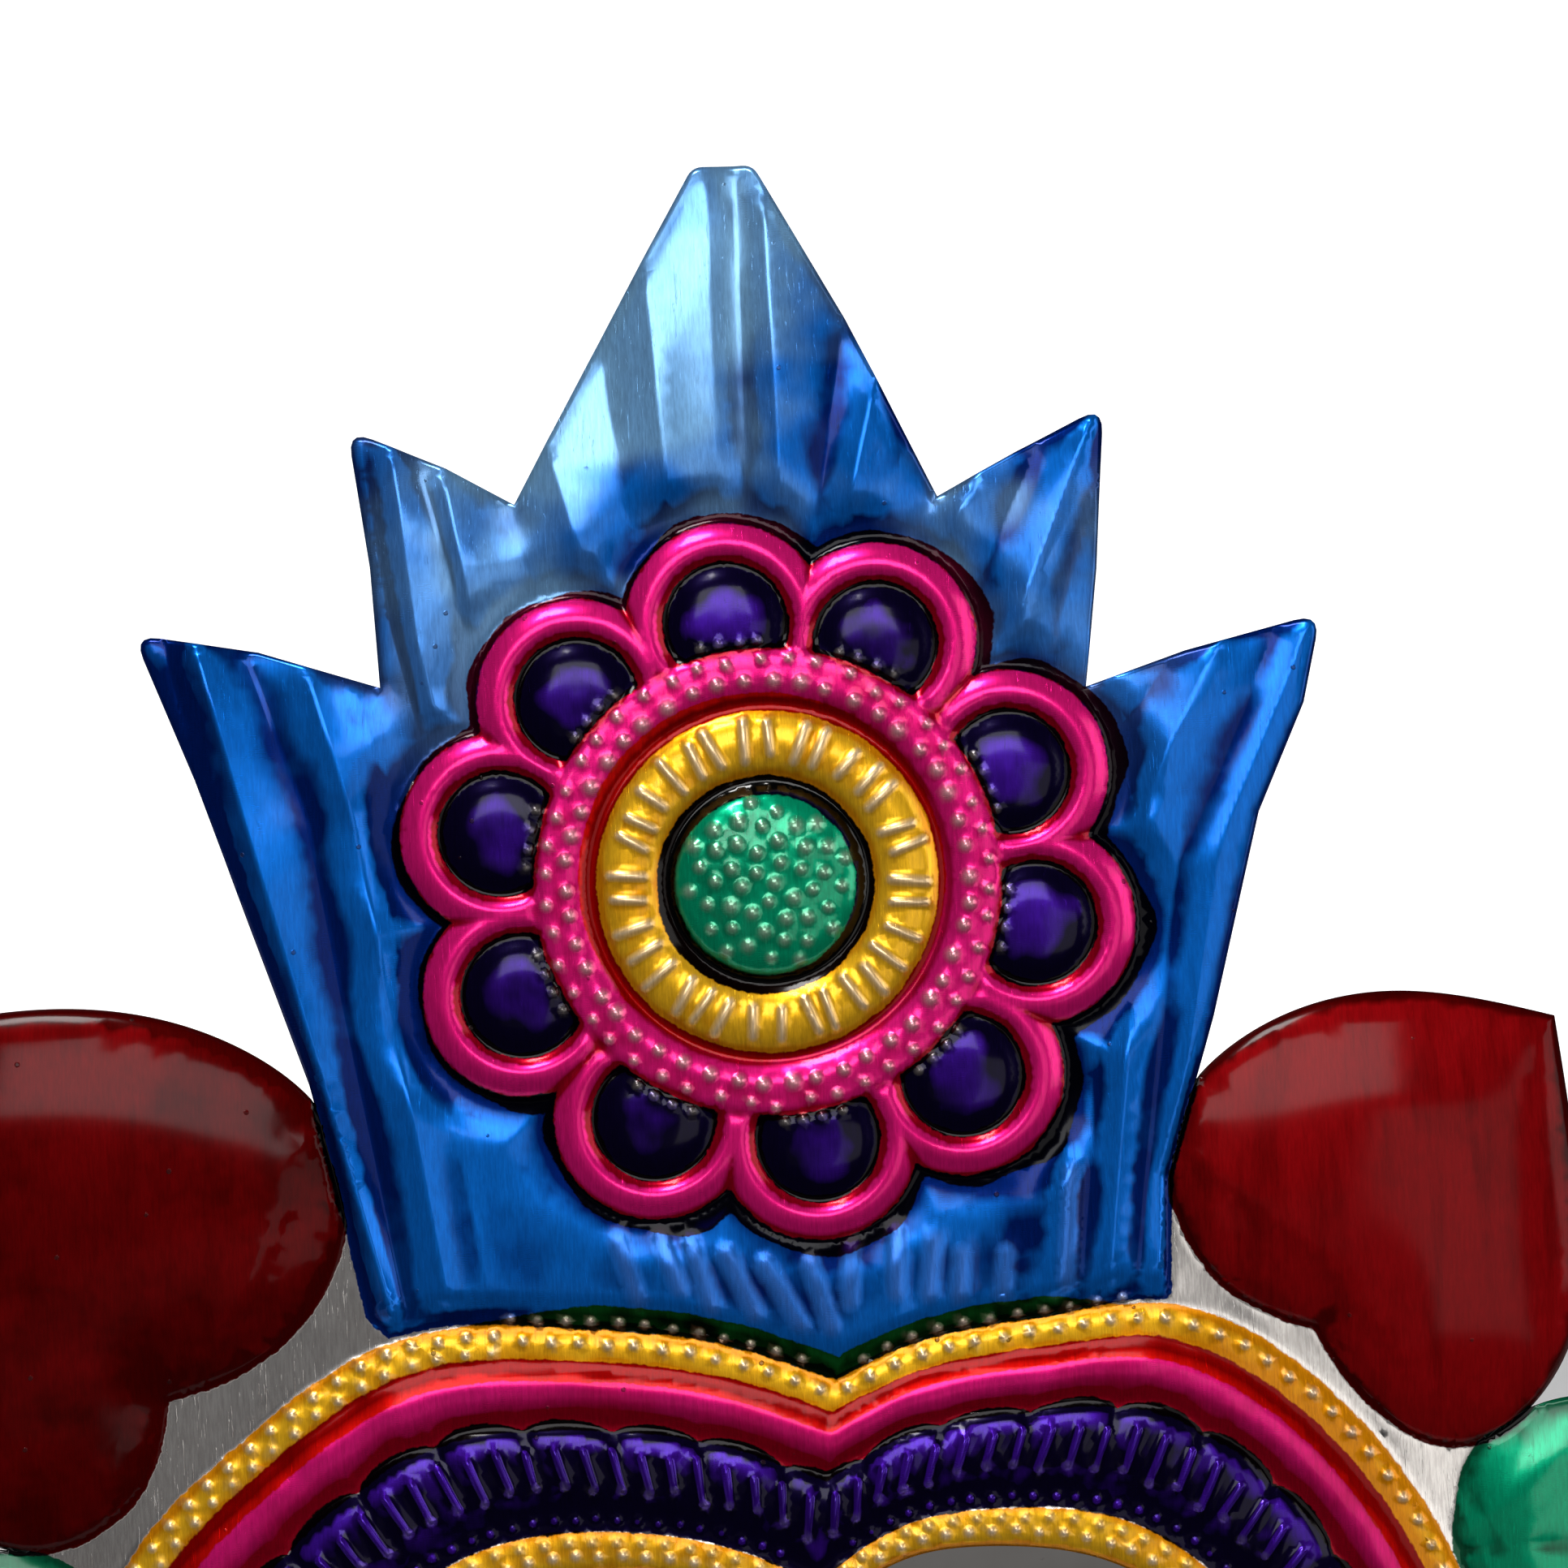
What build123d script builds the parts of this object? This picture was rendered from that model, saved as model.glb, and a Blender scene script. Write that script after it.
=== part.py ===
from build123d import *
import math
import os

# Crowned heart mirror in chased, lacquered tinplate, hung on a wall by a ring.
# Millimetres. +Z is up, +X is to the right of someone facing it, and its front faces -Y.
# The origin is the centre of the back tray's rear face, which rests against the wall.

# ---- driving dimensions -------------------------------------------------------------------
SHEET = 0.3            # front sheet's gauge
TRAY = 0.4             # back tray's gauge
CARD = 1.5
GLASS = 2.0
FLANGE_WIDTH = 4.0     # tray's flange, beyond its wall
GLASS_PLAY = 0.4       # play between glass and tray wall

# Depths behind the front sheet, measured as y
CARD_BACK = -TRAY
GLASS_BACK = CARD_BACK - CARD
SHEET_BACK = GLASS_BACK - GLASS
SHEET_FRONT = SHEET_BACK - SHEET

# Heights of the chased relief above the sheet's face
PETAL_RISE = 2.2
INSET_RISE = 3.0
RING_RISE = 3.2
DOME_RISE = 4.6
ROLL_RISE = 3.4
SCALLOP_RISE = 2.2
LOBE_RISE = 5.2
LEAF_RISE = 2.6
FLUTE_RISE = 0.7
HOLLOW_SCALE = 0.98    # of the hollow behind a lobe, a leaf or the flower, against its outline

# Crown, by its corners from the left foot round to the right foot, as (x, z)
CROWN_LEFT = [(-53.9, 86.5), (-56.4, 99.0), (-60.0, 115.5), (-66.3, 134.5), (-72.5, 153.5)]
CROWN_TOP = [(-79.4, 171.9), (-64.0, 169.0), (-49.2, 164.0), (-49.8, 178.8), (-51.9, 196.0),
             (-39.9, 190.6), (-31.7, 185.8), (-21.8, 202.9), (-8.0, 226.3), (-0.6, 226.3),
             (10.0, 206.9), (20.4, 184.6), (30.2, 189.6), (41.3, 194.8), (39.6, 174.9),
             (37.7, 160.4), (50.0, 164.3), (66.9, 168.2), (64.3, 157.3)]
CROWN_RIGHT = [(58.2, 144.1), (51.6, 119.3), (45.3, 99.6), (44.6, 84.5)]
CROWN_TIPS = [(-79.4, 171.9), (-51.9, 196.0), (-8.0, 226.3), (-0.6, 226.3), (41.3, 194.8),
              (66.9, 168.2), (44.6, 84.5), (-53.9, 86.5)]
CROWN_TIP_RADIUS = 2.2
CROWN_BOTTOM = [(20.4, 80.0), (3.2, 74.0), (-20.0, 80.0), (-50.5, 83.0)]

# Heart's outer edge and the mirror opening, each as two curves from the cleft to the tip.
# Matching points pair up, so the bands between them are fractions of the way from edge to opening.
HEART_LEFT = [(3.2, 76.4), (-10.0, 81.2), (-30.0, 84.2), (-52.0, 83.2), (-72.0, 70.6), (-85.4, 57.0),
              (-90.5, 38.0), (-85.0, 14.0), (-68.0, -16.0), (-42.0, -45.0), (-2.5, -79.0)]
HEART_RIGHT = [(3.2, 76.4), (14.0, 80.8), (30.5, 83.2), (46.0, 83.8), (60.5, 75.8), (72.0, 63.0),
               (80.8, 44.0), (80.6, 20.0), (68.5, -9.0), (42.0, -42.0), (-2.5, -79.0)]
OPENING_LEFT = [(-1.0, 46.5), (-8.0, 50.3), (-24.0, 53.9), (-39.0, 52.2), (-50.0, 45.5), (-57.5, 35.5),
                (-60.0, 24.0), (-55.5, 7.0), (-44.0, -11.0), (-26.0, -27.5), (-3.0, -43.0)]
OPENING_RIGHT = [(-1.0, 46.5), (8.5, 53.0), (21.0, 55.1), (33.5, 53.4), (43.5, 48.0), (50.0, 40.0),
                 (53.5, 28.0), (51.5, 13.0), (42.0, -6.0), (24.5, -26.0), (-3.0, -43.0)]
WEB_EDGE = -0.14       # bare metal round the heart, as a fraction outside its edge
RAISED_EDGE = -0.02    # where raised lobes and leaves stop short of the heart
ROLL = (0.14, 0.39)    # red rolled band
SCALLOPS = (0.44, 0.80)
WALL_FRACTION = 0.012  # a pressed wall's gauge, as a fraction of the frame's width

# Flat metal between the heart, the crown's foot and the upper lobes, on each side
WEB_RIGHT = [(30.0, 78.0), (44.6, 84.5), (45.4, 104.0), (62.0, 90.0), (79.0, 66.0), (79.0, 50.0),
             (60.0, 68.0)]
WEB_LEFT = [(-40.0, 78.0), (-54.0, 86.0), (-58.5, 111.0), (-68.0, 90.0), (-85.0, 68.0), (-88.0, 50.0),
            (-60.0, 68.0)]

# Red lobes: each is a heart whose tip points away from the mirror, as notch, side, tip, side
LOBE_TOP_RIGHT = ((62.6, 80.3),
                  [(53.5, 84.4), (46.5, 94.0), (46.0, 106.5), (54.5, 116.0), (72.0, 121.3)],
                  (93.6, 117.4),
                  [(95.8, 95.0), (92.6, 74.5), (79.8, 65.0), (67.2, 72.6)])
LOBE_TOP_LEFT = ((-79.3, 77.4),
                 [(-67.0, 82.2), (-57.6, 94.0), (-57.0, 109.0), (-68.0, 120.2), (-90.0, 126.2)],
                 (-115.0, 123.5),
                 [(-119.0, 101.0), (-115.0, 77.0), (-97.0, 59.4), (-83.0, 66.4)])

# Leaves, as base, one side, tip, other side
LEAF_RIGHT = ((78.6, 52.0), [(81.0, 63.5), (93.0, 70.4), (108.0, 66.5)], (122.0, 53.0),
              [(108.0, 42.5), (93.0, 38.0), (82.0, 42.0)])
LEAF_LEFT = ((-86.0, 46.0), [(-89.5, 55.0), (-101.0, 60.0), (-116.0, 57.0)], (-129.5, 43.0),
             [(-116.0, 32.5), (-101.0, 29.0), (-90.0, 33.0)])
LEAF_LOW = ((0.0, -12.0), [(-13.5, 1.0), (-13.0, 14.0), (-7.0, 26.0)], (0.0, 38.0),
            [(7.0, 26.0), (13.0, 14.0), (13.5, 1.0)])

# Lower lobes and leaves: place (x, z) and the turn of their axis from straight up, in degrees
LOW_LOBES = [((97.5, 8.0), -104.0), ((-105.5, 3.0), 106.0)]
LOW_LEAVES = [((71.5, -25.0), -126.0), ((-71.0, -26.5), 128.0)]
TIP_LEAVES = [((9.0, -66.0), -158.0), ((-14.0, -66.0), 158.0)]
TIP_LEAF_SCALE = 0.75
LOBE_MIDDLE = (71.0, 94.0)

# Flutes fan up the crown from a point below it
FLUTES = 11
FLUTE_CENTRE = (-4.0, 20.0)
FLUTE_SPREAD = 50.0
FLUTE_HALF_WIDTH = 0.45
FLUTE_LENGTH = 230.0

# Flower
FLOWER = (-2.3, 138.0)
PETALS = 10
PETAL_START = 99.0
PETAL_CENTRE_RADIUS = 32.5
PETAL_RADIUS = 13.0
PETAL_INSET_RADIUS = 5.6
BEAD_RING_OUTER = 28.5
CHANNEL_RADIUS = 21.5
DOME_RADIUS = 11.8

# Mirror, its card and its tray share one outline of eight straight sides
GLASS_OUTLINE = [(-58.0, 66.0), (52.0, 66.0), (66.0, 52.0), (66.0, 16.0), (12.0, -50.0), (-18.0, -50.0),
                 (-73.0, 16.0), (-73.0, 52.0)]

# Clips, by the side of the glass outline each sits on and how far along it
CLIP_WIDTH = 7.0
CLIP_FOOT = 5.0
CLIP_REACH = 3.2
CLIP_PLAY = 0.3
CLIP_CORNER = 1.2
CLIP_SPOTS = [(0, (0.22, 0.78)), (2, (0.5,)), (3, (0.25, 0.75)), (5, (0.25, 0.75)), (6, (0.5,))]
SOLDER_RADIUS = 1.8
SOLDER_HEIGHT = 0.8
SOLDER_TAPER = 0.6     # top radius against the radius at its foot
SOLDER_ROUND = 0.4     # top edge's radius against the height
SOLDER_MARGIN = 0.4    # from the lump to the end of the clip's foot

# Hanger, soldered behind the crown's middle point
HANGER_X = -4.0
HANGER_Z = 190.0
WIRE = 1.6
HINGE_PLAY = 0.08
BARREL_WALL = 0.42
BARREL_LENGTH = 8.0
STRAP_WIDTH = 8.0
STRAP_HEIGHT = 11.0
RING_WIDTH = 14.0
RING_DROP = 6.0
RING_CORNER = 0.75     # bend at the D's corners, in wire diameters
LUMP_SPREAD = 2.0      # solder lumps, to each side of the strap's middle
LUMP_DROP = 2.4        # and below its upper end

FRONT_PLANE = Plane.XZ.offset(-SHEET_FRONT)
BACK_PLANE = Plane.XZ.offset(-SHEET_BACK)


def turned(point, centre, degrees, scale=1.0):
    """A point of a shape drawn about the origin, turned, scaled and moved to its centre."""
    c = math.cos(math.radians(degrees)) * scale
    s = math.sin(math.radians(degrees)) * scale
    return (centre[0] + c * point[0] - s * point[1], centre[1] + s * point[0] + c * point[1])


def two_sided(base, side, tip, back):
    """A closed face of two curves that meet at a base and at a tip."""
    return make_face([Spline(base, *side, tip), Spline(tip, *back, base)])


def placed(shape, move):
    """The same two-sided shape with every point moved."""
    base, side, tip, back = shape
    return (move(base), [move(p) for p in side], move(tip), [move(p) for p in back])


def heart_at(fraction):
    """The heart a fraction of the way from its outer edge, 0, to the mirror opening, 1."""
    def between(edge, opening):
        return [(a[0] + fraction * (b[0] - a[0]), a[1] + fraction * (b[1] - a[1]))
                for a, b in zip(edge, opening)]
    left = between(HEART_LEFT, OPENING_LEFT)
    right = between(HEART_RIGHT, OPENING_RIGHT)
    return make_face([Spline(*left), Spline(*reversed(right))])


def crown_face():
    """The crown's outline, with its points rounded off by the snips."""
    outline = Polyline(*CROWN_LEFT, *CROWN_TOP, *CROWN_RIGHT, *CROWN_BOTTOM, close=True)
    crown = make_face(outline)
    tips = [v for v in crown.vertices() if (round(v.X, 1), round(v.Y, 1)) in CROWN_TIPS]
    return fillet(tips, CROWN_TIP_RADIUS)


def flute_faces(area):
    """Narrow folds that fan up the crown, cut to the area left free of the flower."""
    flutes = []
    for i in range(FLUTES):
        lean = math.radians(FLUTE_SPREAD * (i / (FLUTES - 1) - 0.5))
        half = math.radians(FLUTE_HALF_WIDTH)
        far = [(FLUTE_CENTRE[0] + FLUTE_LENGTH * math.sin(lean + side),
                FLUTE_CENTRE[1] + FLUTE_LENGTH * math.cos(lean + side)) for side in (-half, half)]
        wedge = make_face(Polyline(FLUTE_CENTRE, *far, close=True))
        flutes.append(wedge & area)
    return flutes


def low_lobes():
    """The lower lobes repeat the top right one about its own centre and axis."""
    notch, _, tip, _ = LOBE_TOP_RIGHT
    lean = math.degrees(math.atan2(tip[1] - notch[1], tip[0] - notch[0])) - 90.0
    shapes = []
    for centre, axis in LOW_LOBES:
        def move(p):
            local = (p[0] - LOBE_MIDDLE[0], p[1] - LOBE_MIDDLE[1])
            return turned(local, centre, axis - lean)
        shapes.append(placed(LOBE_TOP_RIGHT, move))
    return shapes


def low_leaves():
    shapes = []
    for centre, axis in LOW_LEAVES:
        shapes.append(placed(LEAF_LOW, lambda p: turned(p, centre, axis)))
    for centre, axis in TIP_LEAVES:
        shapes.append(placed(LEAF_LOW, lambda p: turned(p, centre, axis, TIP_LEAF_SCALE)))
    return shapes


def web_face():
    """Flat bare metal that joins the heart, the lobes, the leaves and the crown's foot."""
    right = make_face(Polyline(*WEB_RIGHT, close=True))
    left = make_face(Polyline(*WEB_LEFT, close=True))
    return heart_at(WEB_EDGE) + right + left


def petal_faces():
    petals = []
    insets = []
    for i in range(PETALS):
        angle = math.radians(PETAL_START - i * 360.0 / PETALS)
        centre = (FLOWER[0] + PETAL_CENTRE_RADIUS * math.cos(angle),
                  FLOWER[1] + PETAL_CENTRE_RADIUS * math.sin(angle))
        petals.append(Pos(*centre) * Circle(PETAL_RADIUS))
        insets.append(Pos(*centre) * Circle(PETAL_INSET_RADIUS))
    return petals, insets


def raised(face, rise, base=0.0):
    """A solid on the sheet's face, from a base height up to its rise."""
    return extrude(FRONT_PLANE.offset(base) * face, rise - base)


def pressed(face, rise):
    """The hollow behind a raised area, open at the back, which leaves the sheet's gauge over it."""
    return extrude(BACK_PLANE * face, rise)


def shrunk(face):
    """A face drawn in a little all round its middle, for the hollow behind it."""
    middle = face.center() * (1.0 - HOLLOW_SCALE)
    return Pos(middle.X, middle.Y) * scale(face, by=HOLLOW_SCALE)


def front_sheet():
    opening = heart_at(1.0)
    edge = heart_at(RAISED_EDGE)
    crown = crown_face()
    lobes = [two_sided(*s) for s in [LOBE_TOP_RIGHT, LOBE_TOP_LEFT] + low_lobes()]
    leaves = [two_sided(*s) for s in [LEAF_RIGHT, LEAF_LEFT] + low_leaves()]
    petals, insets = petal_faces()
    flower = Pos(*FLOWER) * Circle(BEAD_RING_OUTER)
    for petal in petals:
        flower += petal

    outline = web_face() + crown
    for shape in lobes + leaves:
        outline += shape
    sheet = raised(outline - opening, 0.0, -SHEET)

    raised_faces = [(flower, PETAL_RISE)]
    raised_faces += [(lobe - edge - crown, LOBE_RISE) for lobe in lobes]
    for leaf in leaves:
        for lobe in lobes:
            leaf -= lobe
        raised_faces.append((leaf - edge, LEAF_RISE))
    for flute in flute_faces(crown - flower - edge - lobes[0] - lobes[1]):
        sheet += raised(flute, FLUTE_RISE)
    for group, rise in raised_faces:
        for face in group.faces():
            sheet += raised(face, rise)
            sheet -= pressed(shrunk(face), rise)
    for (start, end), rise in [(ROLL, ROLL_RISE), (SCALLOPS, SCALLOP_RISE)]:
        sheet += raised(heart_at(start) - heart_at(end), rise)
        sheet -= pressed(heart_at(start + WALL_FRACTION) - heart_at(end - WALL_FRACTION), rise)
    ring = Pos(*FLOWER) * (Circle(BEAD_RING_OUTER) - Circle(CHANNEL_RADIUS))
    dome = Pos(*FLOWER) * Circle(DOME_RADIUS)
    for inset in insets:
        sheet += raised(inset, INSET_RISE, PETAL_RISE)
    sheet += raised(ring, RING_RISE, PETAL_RISE)
    sheet += raised(dome, DOME_RISE, PETAL_RISE)
    return sheet


def plate(face, near, far):
    """A flat plate of a face drawn as (x, z), between two depths given as y."""
    return extrude(Plane.XZ.offset(-far) * face, far - near)


def glass_face(growth=0.0):
    face = make_face(Polyline(*GLASS_OUTLINE, close=True))
    return offset(face, growth, kind=Kind.INTERSECTION) if growth else face


def back_tray():
    """A pressed pan: rear wall, side wall and a flange that lies on the front sheet's back."""
    wall_inside = glass_face(GLASS_PLAY)
    wall_outside = glass_face(GLASS_PLAY + TRAY)
    flange = glass_face(GLASS_PLAY + TRAY + FLANGE_WIDTH)
    tray = extrude(BACK_PLANE * wall_outside, SHEET_BACK)
    tray += extrude(BACK_PLANE * flange, -TRAY)
    tray -= extrude(BACK_PLANE * wall_inside, SHEET_BACK + TRAY)
    return tray


def clip_places():
    """Where each clip sits on the tray's outline: a point and the outward direction in degrees."""
    places = []
    for index, fractions in CLIP_SPOTS:
        start = GLASS_OUTLINE[index]
        end = GLASS_OUTLINE[(index + 1) % len(GLASS_OUTLINE)]
        outward = math.degrees(math.atan2(end[1] - start[1], end[0] - start[0])) + 90.0
        for f in fractions:
            point = (start[0] + f * (end[0] - start[0]), start[1] + f * (end[1] - start[1]))
            places.append((point, outward))
    return places


def clip_solid():
    """One strip, drawn with +X outwards: foot on the sheet, a riser, and a tongue over the flange."""
    edge = GLASS_PLAY + TRAY + FLANGE_WIDTH + CLIP_PLAY
    half = CLIP_WIDTH / 2
    foot = Rectangle(CLIP_FOOT, CLIP_WIDTH, align=(Align.MIN, Align.CENTER))
    foot = fillet(foot.vertices().group_by(Axis.X)[-1], CLIP_CORNER)
    tongue = Rectangle(CLIP_REACH + TRAY + CLIP_PLAY, CLIP_WIDTH, align=(Align.MAX, Align.CENTER))
    tongue = fillet(tongue.vertices().group_by(Axis.X)[0], CLIP_CORNER)
    solid = extrude(Pos(edge, 0) * foot, TRAY)
    solid += Pos(edge, 0) * Box(TRAY, CLIP_WIDTH, TRAY * 2, align=(Align.MIN, Align.CENTER, Align.MIN))
    solid += Pos(edge + TRAY, 0, TRAY) * extrude(tongue, TRAY)
    return solid


def behind(solid, point, outward):
    """Sets a solid drawn on the XY plane, +Z rearwards, against the sheet's back at a point."""
    back = Plane(origin=(0, SHEET_BACK, 0), x_dir=(1, 0, 0), z_dir=(0, 1, 0))
    return back * (Pos(point[0], -point[1]) * (Rot(0, 0, -outward) * solid))


def solder_dot(radius, height):
    """A lump of solder, as a low cone with a rounded top."""
    dot = Cone(radius, radius * SOLDER_TAPER, height, align=(Align.CENTER, Align.CENTER, Align.MIN))
    return fillet(dot.faces().sort_by(Axis.Z)[-1].edges(), height * SOLDER_ROUND)


def retaining_clips():
    return [behind(clip_solid(), point, outward) for point, outward in clip_places()]


def clip_solder():
    """Solder on the outer half of each clip's foot."""
    reach = GLASS_PLAY + TRAY + FLANGE_WIDTH + CLIP_PLAY + CLIP_FOOT - SOLDER_RADIUS - SOLDER_MARGIN
    dot = Pos(reach, 0, TRAY) * solder_dot(SOLDER_RADIUS, SOLDER_HEIGHT)
    return Compound(children=[behind(dot, point, outward) for point, outward in clip_places()])


def barrel_y():
    return SHEET_BACK + WIRE / 2 + HINGE_PLAY + BARREL_WALL


def hanger_strap():
    """A strip of tin whose lower end is rolled into a barrel round the ring's wire."""
    outer = WIRE / 2 + HINGE_PLAY + BARREL_WALL
    strip = Pos(HANGER_X, SHEET_BACK + TRAY / 2, HANGER_Z + STRAP_HEIGHT / 2)
    strap = strip * Box(STRAP_WIDTH, TRAY, STRAP_HEIGHT)
    across = Pos(HANGER_X, barrel_y(), HANGER_Z) * Rot(0, 90, 0)
    strap += across * Cylinder(outer, BARREL_LENGTH)
    strap -= across * Cylinder(WIRE / 2 + HINGE_PLAY, BARREL_LENGTH)
    return strap


def hanger_solder():
    """Two lumps at the strap's upper end."""
    dots = []
    for side in (-1, 1):
        dot = Pos(0, 0, TRAY) * solder_dot(SOLDER_RADIUS, SOLDER_HEIGHT)
        place = (HANGER_X + side * LUMP_SPREAD, HANGER_Z + STRAP_HEIGHT - LUMP_DROP)
        dots.append(behind(dot, place, 0.0))
    return Compound(children=dots)


def hanger_ring():
    """A D of round wire: its straight side turns in the barrel and its bow hangs below."""
    half = RING_WIDTH / 2
    corner = WIRE * RING_CORNER
    straight = Line((0, 0), (half - corner, 0))
    top_corner = CenterArc((half - corner, -corner), corner, 90, -90)
    side = Line((half, -corner), (half, -RING_DROP))
    bow = CenterArc((0, -RING_DROP), half, 0, -180)
    other_side = Line((-half, -RING_DROP), (-half, -corner))
    other_corner = CenterArc((corner - half, -corner), corner, 180, -90)
    close = Line((corner - half, 0), (0, 0))
    path = Wire([straight, top_corner, side, bow, other_side, other_corner, close])
    ring = sweep(Plane.YZ * Circle(WIRE / 2), path=path)
    upright = Plane(origin=(HANGER_X, barrel_y(), HANGER_Z), x_dir=(1, 0, 0), z_dir=(0, -1, 0))
    return upright * ring


def write(name, shape):
    export_step(shape, "parts/" + name + ".step")


os.makedirs("parts", exist_ok=True)
write("mirror_glass", plate(glass_face(), SHEET_BACK, GLASS_BACK))
write("backing_card", plate(glass_face(), GLASS_BACK, CARD_BACK))
write("back_tray", back_tray())
for number, clip in enumerate(retaining_clips(), start=1):
    write(f"retaining_clip_{number}", clip)
write("clip_solder", clip_solder())
write("hanger_strap", hanger_strap())
write("hanger_solder", hanger_solder())
write("hanger_ring", hanger_ring())
write("front_sheet", front_sheet())
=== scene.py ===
"""Crowned heart mirror in chased, lacquered tinplate.

The front sheet is one height field over the (x, z) plane: its outline is the CAD sheet's,
its relief rises towards -Y, and its back follows the same relief close behind.
Pattern work is in millimetres; build_mesh() turns it into metres.
"""
import math
import random

import bpy
import numpy as np
from mathutils import Matrix, Vector, kdtree
from mathutils.geometry import delaunay_2d_cdt


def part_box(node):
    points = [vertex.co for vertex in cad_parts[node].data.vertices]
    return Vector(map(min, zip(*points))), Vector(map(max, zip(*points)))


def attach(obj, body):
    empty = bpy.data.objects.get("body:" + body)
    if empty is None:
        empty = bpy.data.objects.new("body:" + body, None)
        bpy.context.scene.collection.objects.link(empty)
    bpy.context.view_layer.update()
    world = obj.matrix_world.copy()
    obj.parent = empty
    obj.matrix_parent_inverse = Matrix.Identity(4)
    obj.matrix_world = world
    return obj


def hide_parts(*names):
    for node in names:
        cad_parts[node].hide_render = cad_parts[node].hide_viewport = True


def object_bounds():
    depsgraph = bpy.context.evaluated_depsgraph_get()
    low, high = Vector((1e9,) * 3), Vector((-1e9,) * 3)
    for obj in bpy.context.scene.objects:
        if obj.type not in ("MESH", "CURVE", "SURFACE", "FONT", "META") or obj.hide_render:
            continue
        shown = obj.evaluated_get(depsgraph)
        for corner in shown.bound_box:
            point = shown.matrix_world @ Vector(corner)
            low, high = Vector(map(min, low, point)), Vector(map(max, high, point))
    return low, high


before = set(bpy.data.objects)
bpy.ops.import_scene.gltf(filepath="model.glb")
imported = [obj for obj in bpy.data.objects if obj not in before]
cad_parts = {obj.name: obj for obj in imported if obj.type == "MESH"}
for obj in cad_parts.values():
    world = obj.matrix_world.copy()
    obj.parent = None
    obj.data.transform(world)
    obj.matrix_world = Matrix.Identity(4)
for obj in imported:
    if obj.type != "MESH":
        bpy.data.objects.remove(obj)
cad_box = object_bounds()
rng = random.Random(7)
MM = 0.001

# ---- the sheet's outline, as part.py has it ----
CROWN_LEFT = [(-53.9, 86.5), (-56.4, 99.0), (-60.0, 115.5), (-66.3, 134.5), (-72.5, 153.5)]
CROWN_TOP = [
    (-79.4, 171.9), (-64.0, 169.0), (-49.2, 164.0), (-49.8, 178.8), (-51.9, 196.0), (-39.9, 190.6),
    (-31.7, 185.8), (-21.8, 202.9), (-8.0, 226.3), (-0.6, 226.3), (10.0, 206.9), (20.4, 184.6),
    (30.2, 189.6), (41.3, 194.8), (39.6, 174.9), (37.7, 160.4), (50.0, 164.3), (66.9, 168.2),
    (64.3, 157.3)
]
CROWN_RIGHT = [(58.2, 144.1), (51.6, 119.3), (45.3, 99.6), (44.6, 84.5)]
CROWN_TIPS = [
    (-79.4, 171.9), (-51.9, 196.0), (-8.0, 226.3), (-0.6, 226.3), (41.3, 194.8), (66.9, 168.2),
    (44.6, 84.5), (-53.9, 86.5)
]
CROWN_TIP_RADIUS = 2.2
LONGEST_SNIP = 3.4
CROWN_BOTTOM = [(20.4, 80.0), (3.2, 74.0), (-20.0, 80.0), (-50.5, 83.0)]
HEART_LEFT = [
    (3.2, 76.4), (-10.0, 81.2), (-30.0, 84.2), (-52.0, 83.2), (-72.0, 70.6), (-85.4, 57.0),
    (-90.5, 38.0), (-85.0, 14.0), (-68.0, -16.0), (-42.0, -45.0), (-2.5, -79.0)
]
HEART_RIGHT = [
    (3.2, 76.4), (14.0, 80.8), (30.5, 83.2), (46.0, 83.8), (60.5, 75.8), (72.0, 63.0), (80.8, 44.0),
    (80.6, 20.0), (68.5, -9.0), (42.0, -42.0), (-2.5, -79.0)
]
OPENING_LEFT = [
    (-1.0, 46.5), (-8.0, 50.3), (-24.0, 53.9), (-39.0, 52.2), (-50.0, 45.5), (-57.5, 35.5),
    (-60.0, 24.0), (-55.5, 7.0), (-44.0, -11.0), (-26.0, -27.5), (-3.0, -43.0)
]
OPENING_RIGHT = [
    (-1.0, 46.5), (8.5, 53.0), (21.0, 55.1), (33.5, 53.4), (43.5, 48.0), (50.0, 40.0), (53.5, 28.0),
    (51.5, 13.0), (42.0, -6.0), (24.5, -26.0), (-3.0, -43.0)
]
WEB_EDGE = -0.14
LOBE_TOP_RIGHT = ((62.6, 80.3),
                  [(53.5, 84.4), (46.5, 94.0), (46.0, 106.5), (54.5, 116.0), (72.0, 121.3)],
                  (93.6, 117.4),
                  [(95.8, 95.0), (92.6, 74.5), (79.8, 65.0), (67.2, 72.6)])
LOBE_TOP_LEFT = ((-79.3, 77.4),
                 [(-67.0, 82.2), (-57.6, 94.0), (-57.0, 109.0), (-68.0, 120.2), (-90.0, 126.2)],
                 (-115.0, 123.5),
                 [(-119.0, 101.0), (-115.0, 77.0), (-97.0, 59.4), (-83.0, 66.4)])
LEAF_RIGHT = ((78.6, 52.0), [(81.0, 63.5), (93.0, 70.4), (108.0, 66.5)], (122.0, 53.0),
              [(108.0, 42.5), (93.0, 38.0), (82.0, 42.0)])
LEAF_LEFT = ((-86.0, 46.0), [(-89.5, 55.0), (-101.0, 60.0), (-116.0, 57.0)], (-129.5, 43.0),
             [(-116.0, 32.5), (-101.0, 29.0), (-90.0, 33.0)])
LEAF_LOW = ((0.0, -12.0), [(-13.5, 1.0), (-13.0, 14.0), (-7.0, 26.0)], (0.0, 38.0),
            [(7.0, 26.0), (13.0, 14.0), (13.5, 1.0)])
LOW_LOBES = [((97.5, 8.0), -104.0), ((-105.5, 3.0), 106.0)]
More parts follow.
